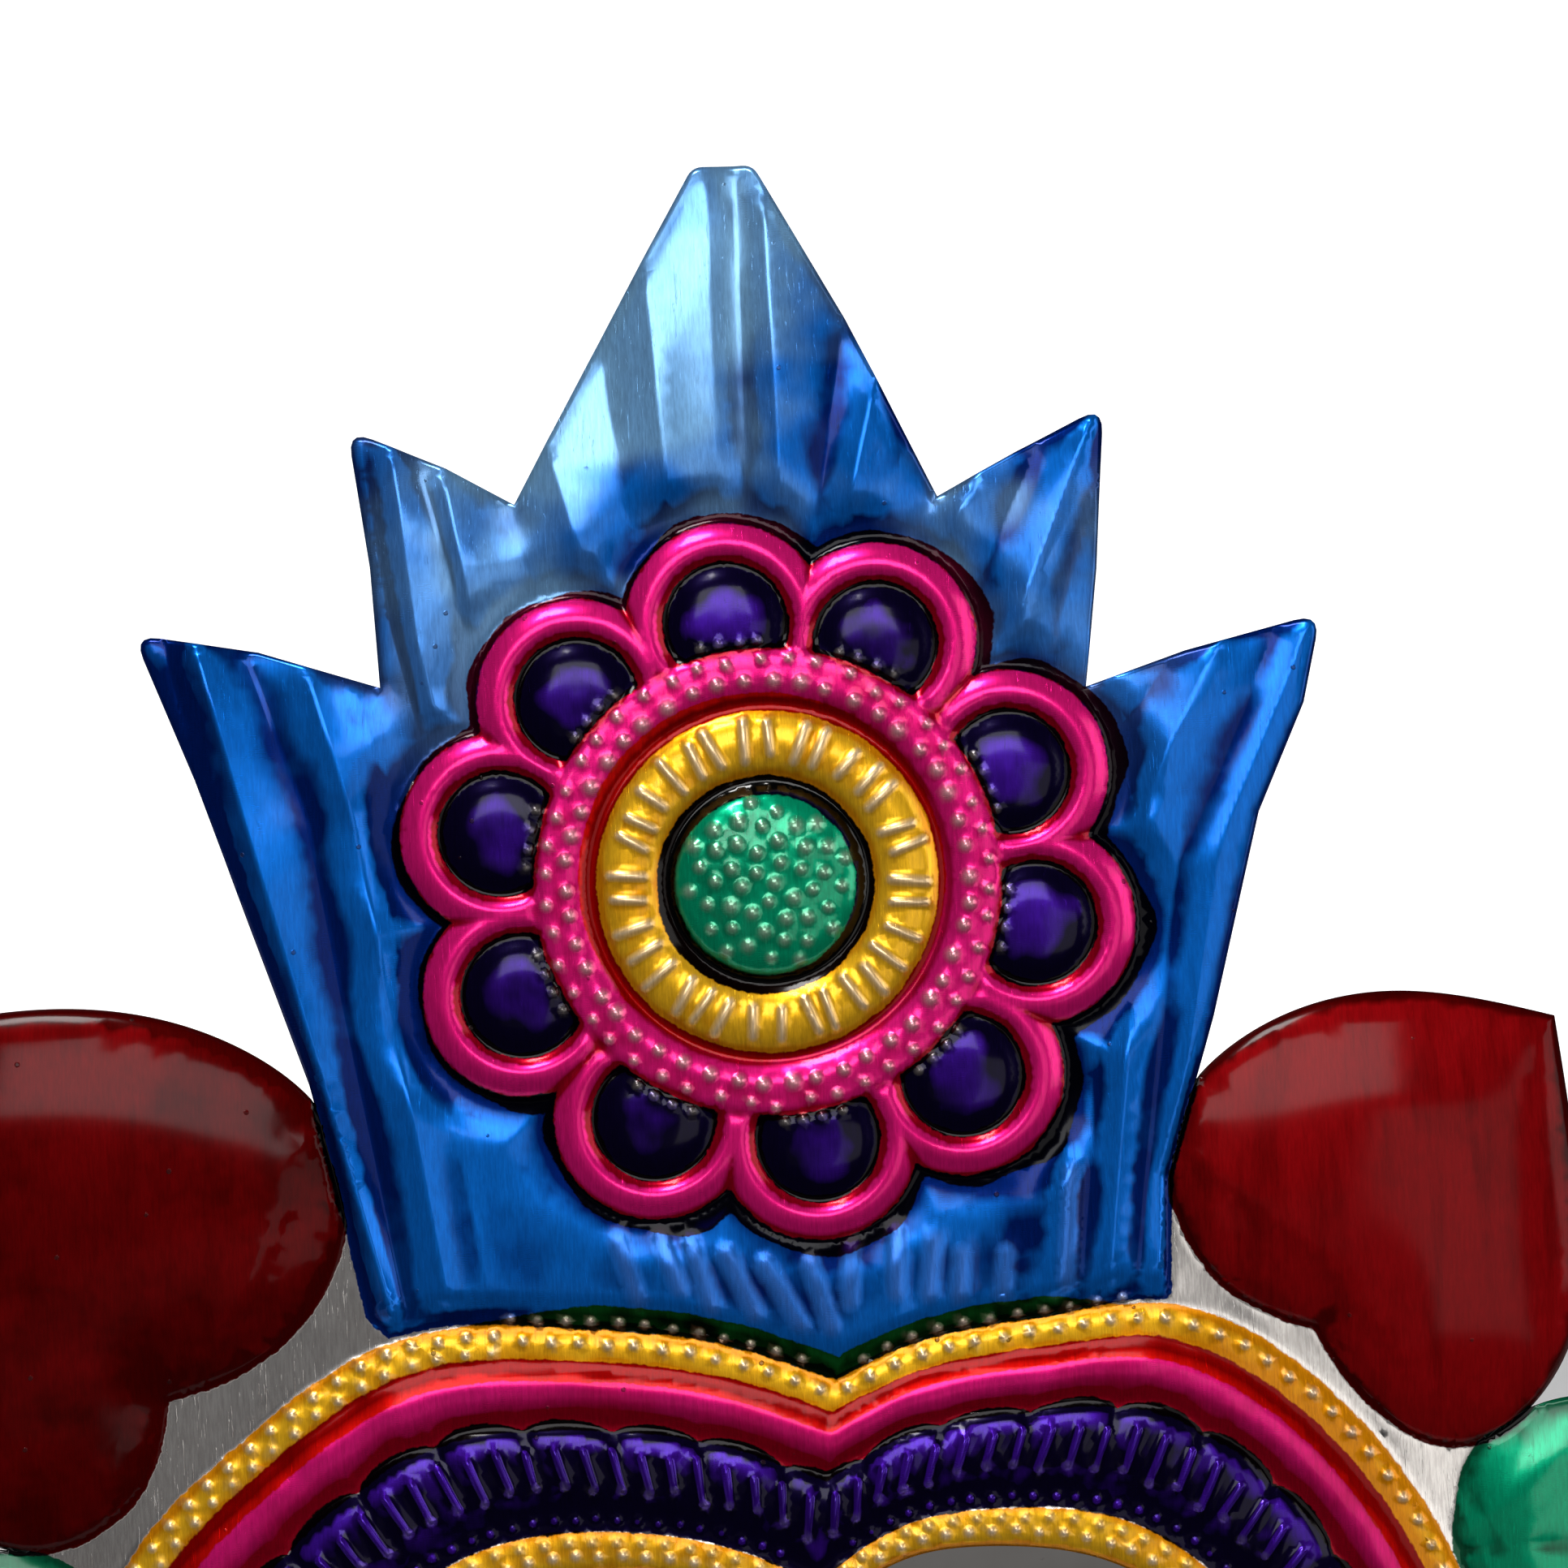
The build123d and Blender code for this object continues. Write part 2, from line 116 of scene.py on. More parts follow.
LOW_LEAVES = [((71.5, -25.0), -126.0, 1.0), ((-71.0, -26.5), 128.0, 1.0),
              ((9.0, -66.0), -158.0, 0.75), ((-14.0, -66.0), 158.0, 0.75)]
LOBE_MIDDLE = (71.0, 94.0)
WEB_RIGHT = [
    (30.0, 78.0), (44.6, 84.5), (45.4, 104.0), (62.0, 90.0), (79.0, 66.0), (79.0, 50.0), (60.0, 68.0)
]
WEB_LEFT = [
    (-40.0, 78.0), (-54.0, 86.0), (-58.5, 111.0), (-68.0, 90.0), (-85.0, 68.0), (-88.0, 50.0),
    (-60.0, 68.0)
]

FLOWER = np.array((-2.5, 138.1))
PETAL_CENTRES = np.array([
    (-6.3, 170.0), (12.0, 166.8), (27.6, 150.4), (30.1, 131.6), (20.4, 113.4), (2.3, 106.2),
    (-17.7, 109.6), (-33.2, 125.4), (-35.1, 145.4), (-25.0, 161.4)
])
PETAL_RADIUS = 12.6
DOME_BEADS = 45
DOME_BEAD_SPREAD = 1.55
GOLDEN_ANGLE = 2.39996
YELLOW_RIDGES = 33
RIDGE_ENDS = (15.3, 19.5)
RING_BEADS = 46
RING_ROWS = (24.7, 27.3)
INSET_FOOT = 29.6          # distance of each inset's flat side from the flower's centre
# Beads and bumps: radius, height, and how much the top is lightened toward bare tin, partly lacquer worn
# off and partly a painted highlight
DOME_BEAD = (1.2, 0.5, 0.5)
RING_BEAD = (1.25, 0.58, 0.75)
RING_SMALL_BEAD = (0.9, 0.42, 0.75)
INSET_BUMP = (0.8, 0.45, 0.3)
EDGE_BEAD = (0.85, 0.45, 1.0)
EDGE_SECOND_BEAD = (0.8, 0.38, 1.0)
CROWN_FOOT_BEAD = (0.85, 0.42, 0.8)
MOUNT_BEAD = (0.9, 0.48, 1.0)
MOUNT_SECOND_BEAD = (0.85, 0.32, 0.5)
RIB_FOOT_BEAD = (0.85, 0.6, 0.12)
RIB_GAP_BEAD = (0.8, 0.45, 0.0)
YELLOW_RIDGE = (0.78, 0.5, 0.8)
RIB = (0.62, 0.62, 0.0)
FLUTE = (1.8, 0.30, 0.06)

# Folds that run down the crown, left to right: points from top to bottom, then the fold's height
SIDE_FOLDS_LEFT = [
    ([(-75.5, 171.0), (-71.0, 150.0), (-57.5, 99.0)], 0.0),
    ([(-71.8, 170.8), (-66.7, 149.5), (-53.9, 98.9)], 0.85),
    ([(-65.6, 169.0), (-58.7, 148.2), (-49.2, 86.7)], 0.0),
    ([(-58.3, 167.2), (-52.8, 146.9), (-43.5, 84.4)], 0.65),
    ([(-53.0, 165.4), (-47.4, 147.6), (-38.5, 84.2)], 0.3),
]
UPPER_FOLDS = [
    ([(-50.0, 194.3), (-47.6, 172.7), (-37.6, 128.2)], 0.05),
    ([(-46.6, 194.7), (-44.4, 169.6), (-35.6, 128.1)], 0.75),
    ([(-43.8, 192.6), (-40.2, 178.4), (-30.6, 127.8)], 0.3),
    ([(-40.4, 190.6), (-37.0, 169.3), (-27.6, 127.8)], 0.7),
    ([(-33.9, 186.1), (-29.0, 174.9), (-18.1, 138.9)], 0.2),
    ([(-27.3, 192.8), (-22.8, 175.8), (-14.1, 138.7)], 0.7),
    ([(-20.4, 203.5), (-17.6, 181.2), (-11.1, 138.6)], 0.25),
    ([(-14.4, 213.3), (-12.6, 185.2), (-9.1, 138.5)], 0.9),
    ([(-6.5, 224.5), (-6.2, 182.9), (-6.6, 138.4)], 0.45),
    ([(-2.9, 224.3), (-3.4, 182.8), (-4.6, 138.3)], 0.15),
    ([(0.4, 223.2), (1.0, 190.6), (-2.1, 138.2)], 0.85),
    ([(9.9, 206.8), (4.1, 176.5), (-0.6, 138.1)], 0.15),
    ([(13.3, 199.3), (7.6, 177.3), (1.4, 138.0)], 0.8),
    ([(17.0, 191.9), (12.4, 177.1), (3.9, 137.9)], 0.3),
    ([(20.1, 184.6), (15.1, 177.0), (6.9, 137.8)], 0.1),
    ([(25.0, 186.5), (18.7, 175.3), (8.9, 137.7)], 0.8),
    ([(33.4, 190.9), (24.2, 172.1), (11.9, 137.6)], 0.1),
    ([(39.8, 193.7), (28.9, 167.9), (16.9, 137.4)], 0.75),
    ([(41.6, 188.9), (35.9, 173.1), (26.9, 137.1)], 0.2),
]
SIDE_FOLDS_RIGHT = [
    ([(42.4, 165.9), (38.2, 155.0), (30.8, 86.6)], 0.7),
    ([(48.0, 163.3), (41.6, 154.8), (33.8, 86.5)], 0.25),
    ([(54.1, 165.3), (44.5, 147.2), (37.2, 86.9)], 0.65),
    ([(61.4, 166.7), (47.9, 138.5), (40.6, 85.8)], 0.15),
    ([(65.4, 167.3), (52.4, 139.3), (43.4, 88.6)], 0.6),
]
LOWER_FOLDS = [
    ([(-31.0, 110.0), (-32.5, 84.0)], 0.05),
    ([(-18.0, 92.8), (-16.0, 88.0)], 0.35),
    ([(-4.7, 89.7), (-1.5, 82.6)], 0.1),
    ([(11.4, 93.0), (11.1, 86.1)], 0.35),
    ([(24.8, 89.5), (24.2, 85.5)], 0.15),
]
# Short flutes above the cleft, each from its soft top to its pointed foot
FLUTES = [
    ((-22.9, 95.0), (-20.6, 87.4)), ((-17.6, 95.0), (-15.4, 88.6)), ((-14.0, 94.2), (-11.6, 86.2)),
    ((-9.6, 92.6), (-6.3, 85.0)), ((-5.0, 91.2), (-0.7, 83.4)), ((0.6, 91.0), (3.0, 83.0)),
    ((5.8, 93.0), (5.3, 86.0)), ((11.4, 94.6), (11.1, 86.9)), ((16.0, 93.4), (15.1, 86.6)),
    ((19.3, 91.6), (18.8, 86.2)), ((24.8, 91.5), (24.2, 86.2)), ((33.4, 101.0), (32.1, 87.5))
]
FOLD_GAIN = 2.3
FOLD_CHANGE = 122.0        # height where the upper folds give way to the lower ones

# Relief, as heights above the sheet's face
GAUGE = 0.3
LOBE_RISE = 4.4
LEAF_RISE = 2.4
# Heart frame: height against the fraction of the way from the outer edge to the opening
FRAME_PROFILE = [
    (-0.2, 0.0), (-0.02, 0.1), (0.05, 0.55), (0.10, 0.7), (0.14, 0.75), (0.19, 1.25), (0.23, 1.65),
    (0.27, 1.7), (0.38, 0.85), (0.425, 0.5), (0.49, 1.35), (0.56, 1.7), (0.66, 1.4), (0.74, 0.8),
    (0.80, 0.45), (0.84, 0.7), (0.90, 0.95), (0.965, 0.9), (1.0, 0.15)
]
# Flower: height against the distance from its centre
FLOWER_PROFILE = [
    (0.0, 3.9), (5.0, 3.7), (8.5, 3.2), (10.6, 2.4), (11.7, 1.3), (12.4, 0.75), (13.2, 1.1),
    (14.8, 2.0), (17.2, 2.35), (19.6, 1.9), (21.2, 1.0), (22.0, 0.9), (23.2, 1.6), (25.0, 2.1),
    (27.5, 2.0), (29.5, 1.5), (60.0, 1.5)
]
# Petal: height against the distance from the petal's own centre
PETAL_PROFILE = [
    (0.0, 2.2), (3.0, 2.05), (5.2, 1.65), (6.8, 1.0), (7.5, 0.8), (8.3, 1.3), (9.4, 1.95), (10.2, 1.9),
    (11.3, 1.45), (12.4, 0.75), (13.2, 0.1), (60.0, 0.0)
]
SCALLOP_PITCH = 10.6
SCALLOP_BULGE = 0.055
RIB_PITCH = 3.45
FRAME_WIDTH = 29.0         # from the heart's outer edge to the opening
EDGE_SLACK = 0.05          # points on a cut edge count as inside it
OVERLAP = 0.45             # how far lacquer runs past a cut edge
# Where each lacquer starts and ends: across the frame, as fractions, and on the flower, from its centre
EDGE_BAND_END = 0.215
ROLL_BAND = (0.13, 0.43)
SCALLOP_BAND = (0.45, 0.835)
MOUNT_BAND = (0.83, 1.2)
DOME_RADIUS = 12.6
DARK_RING_RADIUS = 12.3
YELLOW_RADII = (11.5, 22.6)
PINK_RADII = (21.0, 29.3)
INSET_START = 28.7
INSET_RADIUS = 7.8         # from the petal's own centre
OFF_FLOWER = -5.0          # stands for the gap beyond the petals at points on the flower's disc
DISC_RADIUS = 30.0


# ---- curves and distances ----
def knots(points):
    p = np.array(points, float)
    return np.concatenate([[0.0], np.cumsum(np.linalg.norm(np.diff(p, axis=0), axis=1))])


def spline(points, at, t=None):
    """A natural cubic through the points, at the given places along its knots."""
    p = np.array(points, float)
    t = knots(points) if t is None else t
    h = np.diff(t)
    system = np.eye(len(p))
    bend = np.zeros((len(p), 2))
    for i in range(1, len(p) - 1):
        system[i, i - 1:i + 2] = h[i - 1], 2 * (h[i - 1] + h[i]), h[i]
        bend[i] = 6 * ((p[i + 1] - p[i]) / h[i] - (p[i] - p[i - 1]) / h[i - 1])
    m = np.linalg.solve(system, bend)
    i = np.clip(np.searchsorted(t, at, side="right") - 1, 0, len(p) - 2)
    a = (t[i + 1] - at)[:, None]
    b = (at - t[i])[:, None]
    w = h[i][:, None]
    return ((m[i] * a ** 3 + m[i + 1] * b ** 3) / (6 * w) + (p[i] / w - m[i] * w / 6) * a
            + (p[i + 1] / w - m[i + 1] * w / 6) * b)


def curve(points, step=1.0):
    length = knots(points)[-1]
    return spline(points, np.linspace(0.0, length, max(3, round(length / step) + 1)))


def two_sided(shape):
    base, side, tip, back = shape
    return np.vstack([curve([base, *side, tip])[:-1], curve([tip, *back, base])[:-1]])


def turned(points, centre, degrees, size=1.0):
    c = math.cos(math.radians(degrees)) * size
    s = math.sin(math.radians(degrees)) * size
    return np.asarray(points) @ np.array([[c, s], [-s, c]]) + centre


def divided(corners, step=1.0):
    """A closed straight-sided outline with extra points along its sides."""
    out = []
    for a, b in zip(corners, np.roll(corners, -1, axis=0)):
        n = max(1, round(np.linalg.norm(np.subtract(b, a)) / step))
        out += [np.add(a, (np.subtract(b, a)) * i / n) for i in range(n)]
    return np.array(out)


def snipped(corners, tips, radius):
    """Rounds the named corners of an outline."""
    out = []
    for i, corner in enumerate(corners):
        p = np.array(corner)
        if corner not in tips:
            out.append(p)
            continue
        before = np.array(corners[i - 1]) - p
        after = np.array(corners[(i + 1) % len(corners)]) - p
        before /= np.linalg.norm(before)
        after /= np.linalg.norm(after)
        half = math.acos(np.clip(before @ after, -1, 1)) / 2
        back = min(radius / math.tan(half), LONGEST_SNIP)
        for f in np.linspace(0, 1, 6):
            out.append(p + before * back * (1 - f) ** 2 + after * back * f ** 2)
    return out


def segment_distance(points, a, b):
    a = np.asarray(a, float)
    along = np.asarray(b, float) - a
    size = along @ along
    f = np.clip(((points - a) @ along) / size, 0, 1) if size else np.zeros(len(points))
    return np.linalg.norm(points - a - f[:, None] * along, axis=1)


def inside_distance(points, outline, reach=16.0):
    """Distance to a closed outline: positive inside, negative outside, cut off at the reach."""
    out = np.full(len(points), -reach)
    low, high = outline.min(0) - reach, outline.max(0) + reach
    near = np.flatnonzero(((points > low) & (points < high)).all(1))
    p = points[near]
    best = np.full(len(near), reach)
    inside = np.zeros(len(near), bool)
    for a, b in zip(outline, np.roll(outline, -1, axis=0)):
        best = np.minimum(best, segment_distance(p, a, b))
        if a[1] != b[1]:
            crosses = (a[1] > p[:, 1]) != (b[1] > p[:, 1])
            inside ^= crosses & (p[:, 0] < (b[0] - a[0]) * (p[:, 1] - a[1]) / (b[1] - a[1]) + a[0])
    out[near] = np.where(inside, best, -best)
    return out


def flat_tree(points, keys=None):
    """A search tree over points of the (x, z) plane, or over those of them that the keys name."""
    keys = range(len(points)) if keys is None else keys
    tree = kdtree.KDTree(len(points))
    for k in keys:
        tree.insert((points[k][0], points[k][1], 0.0), int(k))
    tree.balance()
    return tree


def ramp(value, low, high):
    t = np.clip((value - low) / (high - low), 0, 1)
    return t * t * (3 - 2 * t)


def profile(value, stops):
    """Height along a list of (place, height) stops, joined by a smooth curve without overshoot."""
    x, y = np.array(stops, float).T
    slope = np.diff(y) / np.diff(x)
    m = np.concatenate([[slope[0]], np.zeros(len(x) - 2), [slope[-1]]])
    same = slope[:-1] * slope[1:] > 0
    m[1:-1][same] = 2 / (1 / slope[:-1][same] + 1 / slope[1:][same])
    v = np.clip(value, x[0], x[-1])
    i = np.clip(np.searchsorted(x, v, side="right") - 1, 0, len(x) - 2)
    w = x[i + 1] - x[i]
    t = (v - x[i]) / w
    return ((2 * t ** 3 - 3 * t ** 2 + 1) * y[i] + (t ** 3 - 2 * t ** 2 + t) * w * m[i]
            + (3 * t ** 2 - 2 * t ** 3) * y[i + 1] + (t ** 3 - t ** 2) * w * m[i + 1])


class HeartSide:
    """One half of the heart frame, by u along it from the cleft, 0, to the tip, 1, and the fraction f."""

    def __init__(self, edge, opening):
        self.edge, self.opening = edge, opening
        middle = (np.array(edge) + np.array(opening)) / 2
        self.t = knots(middle) / knots(middle)[-1]
        self.length = knots(middle)[-1]

    def at(self, u, f):
        u = np.atleast_1d(np.asarray(u, float))
        f = np.broadcast_to(np.asarray(f, float), u.shape)[:, None]
        return spline(self.edge, u, self.t) * (1 - f) + spline(self.opening, u, self.t) * f

    def row(self, f, pitch, start=0.0, end=1.0):
        """Places along the side at one fraction, a fixed pitch apart."""
        u = np.linspace(start, end, 600)
        run = knots(self.at(u, f))
        return np.interp(np.arange(pitch / 2, run[-1], pitch), run, u)


SIDES = (HeartSide(HEART_LEFT, OPENING_LEFT), HeartSide(HEART_RIGHT, OPENING_RIGHT))
GRID_REACH = 0.8       # how far from the grid of known places a point may lie
U_STEP, F_STEP = 1e-4, 0.01


def heart_outline(f, step=1.0):
    left, right = [side.at(np.linspace(0, 1, round(side.length / step)), f) for side in SIDES]
    return np.vstack([left[:-1], right[::-1][:-1]])


def heart_places(points):
    """Fraction f, and distance s along the frame, of each point; f is -1 away from the heart.

    The nearest sample on a grid gives a first answer, and the surface's slope there refines it.
    """
    uu, ff = [g.ravel() for g in np.meshgrid(np.linspace(0, 1, 640), np.arange(-0.16, 1.07, 0.022))]
    tree = flat_tree(np.vstack([side.at(uu, ff) for side in SIDES]))
    found = [tree.find((p[0], p[1], 0.0)) for p in points]
    index = np.array([k for _, k, _ in found])
    gap = np.array([d for _, _, d in found])
    out_f = np.full(len(points), -1.0)
    out_s = np.zeros(len(points))
    for n, side in enumerate(SIDES):
        mine = np.flatnonzero((index // len(uu) == n) & (gap < GRID_REACH))
        u0, f0 = uu[index[mine] % len(uu)], ff[index[mine] % len(uu)]
        here = side.at(u0, f0)
        ahead, behind = np.minimum(u0 + U_STEP, 1), np.maximum(u0 - U_STEP, 0)
        by_u = (side.at(ahead, f0) - side.at(behind, f0)) / (ahead - behind)[:, None]
        by_f = (side.at(u0, f0 + F_STEP) - here) / F_STEP
        off = points[mine] - here
        det = by_u[:, 0] * by_f[:, 1] - by_u[:, 1] * by_f[:, 0]
        out_f[mine] = f0 + (by_u[:, 0] * off[:, 1] - by_u[:, 1] * off[:, 0]) / det
        moved = u0 + (off[:, 0] * by_f[:, 1] - off[:, 1] * by_f[:, 0]) / det
        out_s[mine] = moved * side.length * (1 if n else -1)
    return out_f, out_s


# ---- outlines ----
CROWN = divided(snipped(CROWN_LEFT + CROWN_TOP + CROWN_RIGHT + CROWN_BOTTOM, CROWN_TIPS, CROWN_TIP_RADIUS))
HEART = heart_outline(-0.02)
OPENING = heart_outline(1.0, 0.7)


def low_lobe(centre, axis):
    notch, _, tip, _ = LOBE_TOP_RIGHT
    lean = math.degrees(math.atan2(tip[1] - notch[1], tip[0] - notch[0])) - 90.0
    return turned(two_sided(LOBE_TOP_RIGHT) - LOBE_MIDDLE, centre, axis - lean)


LOBES = [two_sided(LOBE_TOP_RIGHT), two_sided(LOBE_TOP_LEFT)] + [low_lobe(*spot) for spot in LOW_LOBES]
LEAVES = [two_sided(LEAF_RIGHT), two_sided(LEAF_LEFT)]
LEAVES += [turned(two_sided(LEAF_LOW), *spot) for spot in LOW_LEAVES]
# Each leaf's stem and tip, for its veins
LEAF_SPINES = [(LEAF_RIGHT[0], LEAF_RIGHT[2]), (LEAF_LEFT[0], LEAF_LEFT[2])]
LEAF_SPINES += [turned([LEAF_LOW[0], LEAF_LOW[2]], *spot) for spot in LOW_LEAVES]
PARTS = [CROWN, heart_outline(WEB_EDGE), HEART, divided(WEB_LEFT), divided(WEB_RIGHT)] + LOBES + LEAVES


# ---- small chased marks: beads, ribs and ridges ----
class Mark:
    """A bump: a bead where both ends are the same, otherwise a rib from end to end."""

    def __init__(self, a, b, radius, height, wear_and_sheen):
        self.a, self.b = np.array(a, float), np.array(b, float)
        self.radius, self.height, self.wear_and_sheen = radius, height, wear_and_sheen

    def points(self):
        """Mesh points that the mark needs to keep its shape."""
        length = np.linalg.norm(self.b - self.a)
        if not length:
            spots = [self.a]
            for reach, n in ((0.42, 6), (0.75, 9), (1.05, 11)):
                turn = np.arange(n) * 2 * math.pi / n + reach
                spots += list(self.a + self.radius * reach * np.c_[np.cos(turn), np.sin(turn)])
            return spots
        along = (self.b - self.a) / length
        across = np.array((-along[1], along[0])) * self.radius
        steps = np.linspace(0, length, max(3, round(length / 0.6)))
        spots = [self.a + d * along + across * o for d in steps for o in (0, -0.5, 0.5, -1, 1)]
        for end, way in ((self.a, -self.radius), (self.b, self.radius)):
            spots += [end + 0.9 * way * along]
            spots += [end + 0.6 * way * along + across * o for o in (-0.6, 0.6)]
        return spots


def jitter(amount):
    return rng.uniform(-amount, amount)


def on_circle(radius, angle):
    return FLOWER + radius * np.array((math.cos(angle), math.sin(angle)))


def bead(p, radius, height, wear_and_sheen):
    p = (p[0] + jitter(0.16), p[1] + jitter(0.16))
    return Mark(p, p, radius * rng.uniform(0.85, 1.12), height * rng.uniform(0.8, 1.15), wear_and_sheen)


def flower_marks():
    marks = []
    for k in range(DOME_BEADS):
        place = on_circle(DOME_BEAD_SPREAD * math.sqrt(k + 0.35), k * GOLDEN_ANGLE)
        marks.append(bead(place, *DOME_BEAD))
    for k in range(YELLOW_RIDGES):
        a = math.radians(k * 360 / YELLOW_RIDGES + jitter(1.3))
        lean = math.radians(jitter(2.5))
        inner, outer = RIDGE_ENDS[0] + jitter(0.4), RIDGE_ENDS[1] + jitter(0.5)
        radius, height, wear_and_sheen = YELLOW_RIDGE
        radius *= rng.uniform(0.9, 1.15)
        marks.append(Mark(on_circle(inner, a), on_circle(outer, a + lean), radius, height, wear_and_sheen))
    for k in range(RING_BEADS):
        a = math.radians(k * 360 / RING_BEADS + jitter(0.8))
        marks.append(bead(on_circle(RING_ROWS[0] + jitter(0.25), a), *RING_BEAD))
        a += math.radians(180 / RING_BEADS)
        marks.append(bead(on_circle(RING_ROWS[1] + jitter(0.35), a), *RING_SMALL_BEAD))
    for centre in PETAL_CENTRES:             # bumps that nick the flat side of each inset
        a = math.atan2(*(centre - FLOWER)[::-1])
        for k in (-1.5, -0.5, 0.5, 1.5):
            marks.append(bead(on_circle(INSET_FOOT, a + k * 2.4 / INSET_FOOT), *INSET_BUMP))
    return marks


def frame_bead(side, u, f, shape):
    return bead(side.at(u, f)[0], *shape)


def frame_marks():
    """Rows along each half of the heart, from its outer edge, f = 0, to the opening, f = 1."""
    marks = []
    for n, side in enumerate(SIDES):
        for u in side.row(0.055, 3.4):
            double = n == 0 and u > 0.16     # two rows beside the left lobes
            marks.append(frame_bead(side, u, 0.04 if double else 0.06, EDGE_BEAD))
            if double:
                marks.append(frame_bead(side, u + 0.004, 0.1, EDGE_SECOND_BEAD))
        marks += [frame_bead(side, u, -0.03, CROWN_FOOT_BEAD) for u in side.row(-0.03, 3.3, 0.01, 0.17)]
        marks += [frame_bead(side, u, 0.93, MOUNT_BEAD) for u in side.row(0.93, 2.9)]
        marks += [frame_bead(side, u, 0.872, MOUNT_SECOND_BEAD) for u in side.row(0.875, 3.0, 0.0, 0.35)]
        for u in side.row(0.62, RIB_PITCH):
            top, foot = 0.50 + jitter(0.015), 0.655 + jitter(0.02)
            lower_end = side.at(u + jitter(0.002), foot)[0]
            marks.append(Mark(side.at(u, top)[0], lower_end, *RIB))
            marks.append(frame_bead(side, u, foot, RIB_FOOT_BEAD))
        marks += [frame_bead(side, u, 0.785, RIB_GAP_BEAD) for u in side.row(0.79, 2.6, 0.02, 0.3)]
    return marks


MARKS = flower_marks() + frame_marks() + [Mark(*ends, *FLUTE) for ends in FLUTES]


# ---- relief ----
def fold_x(points, z, reach=200.0):
    """Where a fold crosses a height, carried straight on past its ends."""
    p = np.array(points, float)[::-1]
    low = p[0] + (p[0] - p[1]) * reach / (p[1][1] - p[0][1])
    high = p[-1] + (p[-1] - p[-2]) * reach / (p[-1][1] - p[-2][1])
    return np.interp(z, [low[1], *p[:, 1], high[1]], [low[0], *p[:, 0], high[0]])


def folded(points, folds):
    """Facets between neighbouring folds, each a little hollow."""
    places = np.array([fold_x(f, points[:, 1]) for f, _ in folds]).T
    places = np.maximum.accumulate(places + np.arange(len(folds)) * 0.01, axis=1)
    heights = np.array([h for _, h in folds])
    x = points[:, 0]
    i = np.clip((places < x[:, None]).sum(1) - 1, 0, len(folds) - 2)
    row = np.arange(len(x))
    t = np.clip((x - places[row, i]) / np.maximum(places[row, i + 1] - places[row, i], 0.05), 0, 1)
    return heights[i] * (1 - t) + heights[i + 1] * t - 0.25 * t * (1 - t)


def dents(points, size, seed, waves=14):
    """Gentle hand-worked unevenness, between about -1 and 1."""
    r = random.Random(seed)
    total = np.zeros(len(points))
    for _ in range(waves):
        a, k = r.uniform(0, 2 * math.pi), 2 * math.pi / (size * r.uniform(0.6, 1.6))
        across = points[:, 0] * math.cos(a) + points[:, 1] * math.sin(a)
        total += np.sin(k * across + r.uniform(0, 6.3))
    return total / math.sqrt(waves)


def crown_relief(points, crown, gap):
    """The crown's folds, which die out at the flower, at a cut edge low down and in the ditch."""
    upper = folded(points, SIDE_FOLDS_LEFT + UPPER_FOLDS + SIDE_FOLDS_RIGHT)
    lower = folded(points, SIDE_FOLDS_LEFT + LOWER_FOLDS + SIDE_FOLDS_RIGHT)
    share = ramp(points[:, 1], FOLD_CHANGE - 12, FOLD_CHANGE + 12)
    folds = upper * share + lower * (1 - share)
    folds = FOLD_GAIN * folds * ramp(gap, 0.8, 6.0)
    rim = 0.35 * ramp(crown, 0.0, 1.3) + 0.65 * ramp(crown, 1.0, 9.0)
    folds *= np.maximum(ramp(crown, 0.0, 1.8), 0.8 * ramp(points[:, 1], 106, 116))
    relief = rim + folds + 0.10 * dents(points, 26, 3) + 0.008 * dents(points, 8, 4)
    ditch = 0.75 * ramp(-gap, -7.5, -0.3) * ramp(points[:, 1], 92, 112)
    return relief * (1 - ditch)


def petal_places(points):
    """Distance from the flower's centre, and from the nearest petal's centre."""
    r = np.linalg.norm(points - FLOWER, axis=1)
    nearest = np.min([np.linalg.norm(points - centre, axis=1) for centre in PETAL_CENTRES], axis=0)
    return r, nearest


def petal_gap(r, petal):
    """How far a point lies beyond the petals' rim."""
    return np.where(r < DISC_RADIUS, OFF_FLOWER, petal - PETAL_RADIUS)


def flower_relief(r, petal):
    disc = profile(r, FLOWER_PROFILE)
    petals = profile(petal, PETAL_PROFILE)
    share = ramp(r, 28.0, 30.2)
    return disc * (1 - share) + petals * share


def marks_relief(points):
    total = np.zeros(len(points))
    wear_and_sheen = np.zeros(len(points))
    for mark in MARKS:
        low = np.minimum(mark.a, mark.b) - mark.radius * 1.1
        high = np.maximum(mark.a, mark.b) + mark.radius * 1.1
        near = np.flatnonzero(((points > low) & (points < high)).all(1))
        d = segment_distance(points[near], mark.a, mark.b) / mark.radius
        shape = np.where(d < 1, np.cos(np.minimum(d, 1) * math.pi / 2) ** 2, 0)
        total[near] = np.maximum(total[near], mark.height * shape)
        wear_and_sheen[near] = np.maximum(wear_and_sheen[near], mark.wear_and_sheen * shape)
    return total, wear_and_sheen


def leaf_relief(points, depth, spine):
    base, tip = np.array(spine[0]), np.array(spine[1])
    along = (tip - base) / np.linalg.norm(tip - base)
    off = points - base
    u, v = off @ along, off @ np.array((-along[1], along[0]))
    veins = np.abs(np.mod((u - np.abs(v) * 1.1) / 7.5, 1.0) - 0.5) * 2
    midrib = 0.25 * np.exp(-(v / 0.9) ** 2)
    return LEAF_RISE * 0.75 * ramp(depth, -1.0, 9.0) + 0.14 * ramp(depth, 0, 2) * veins - midrib


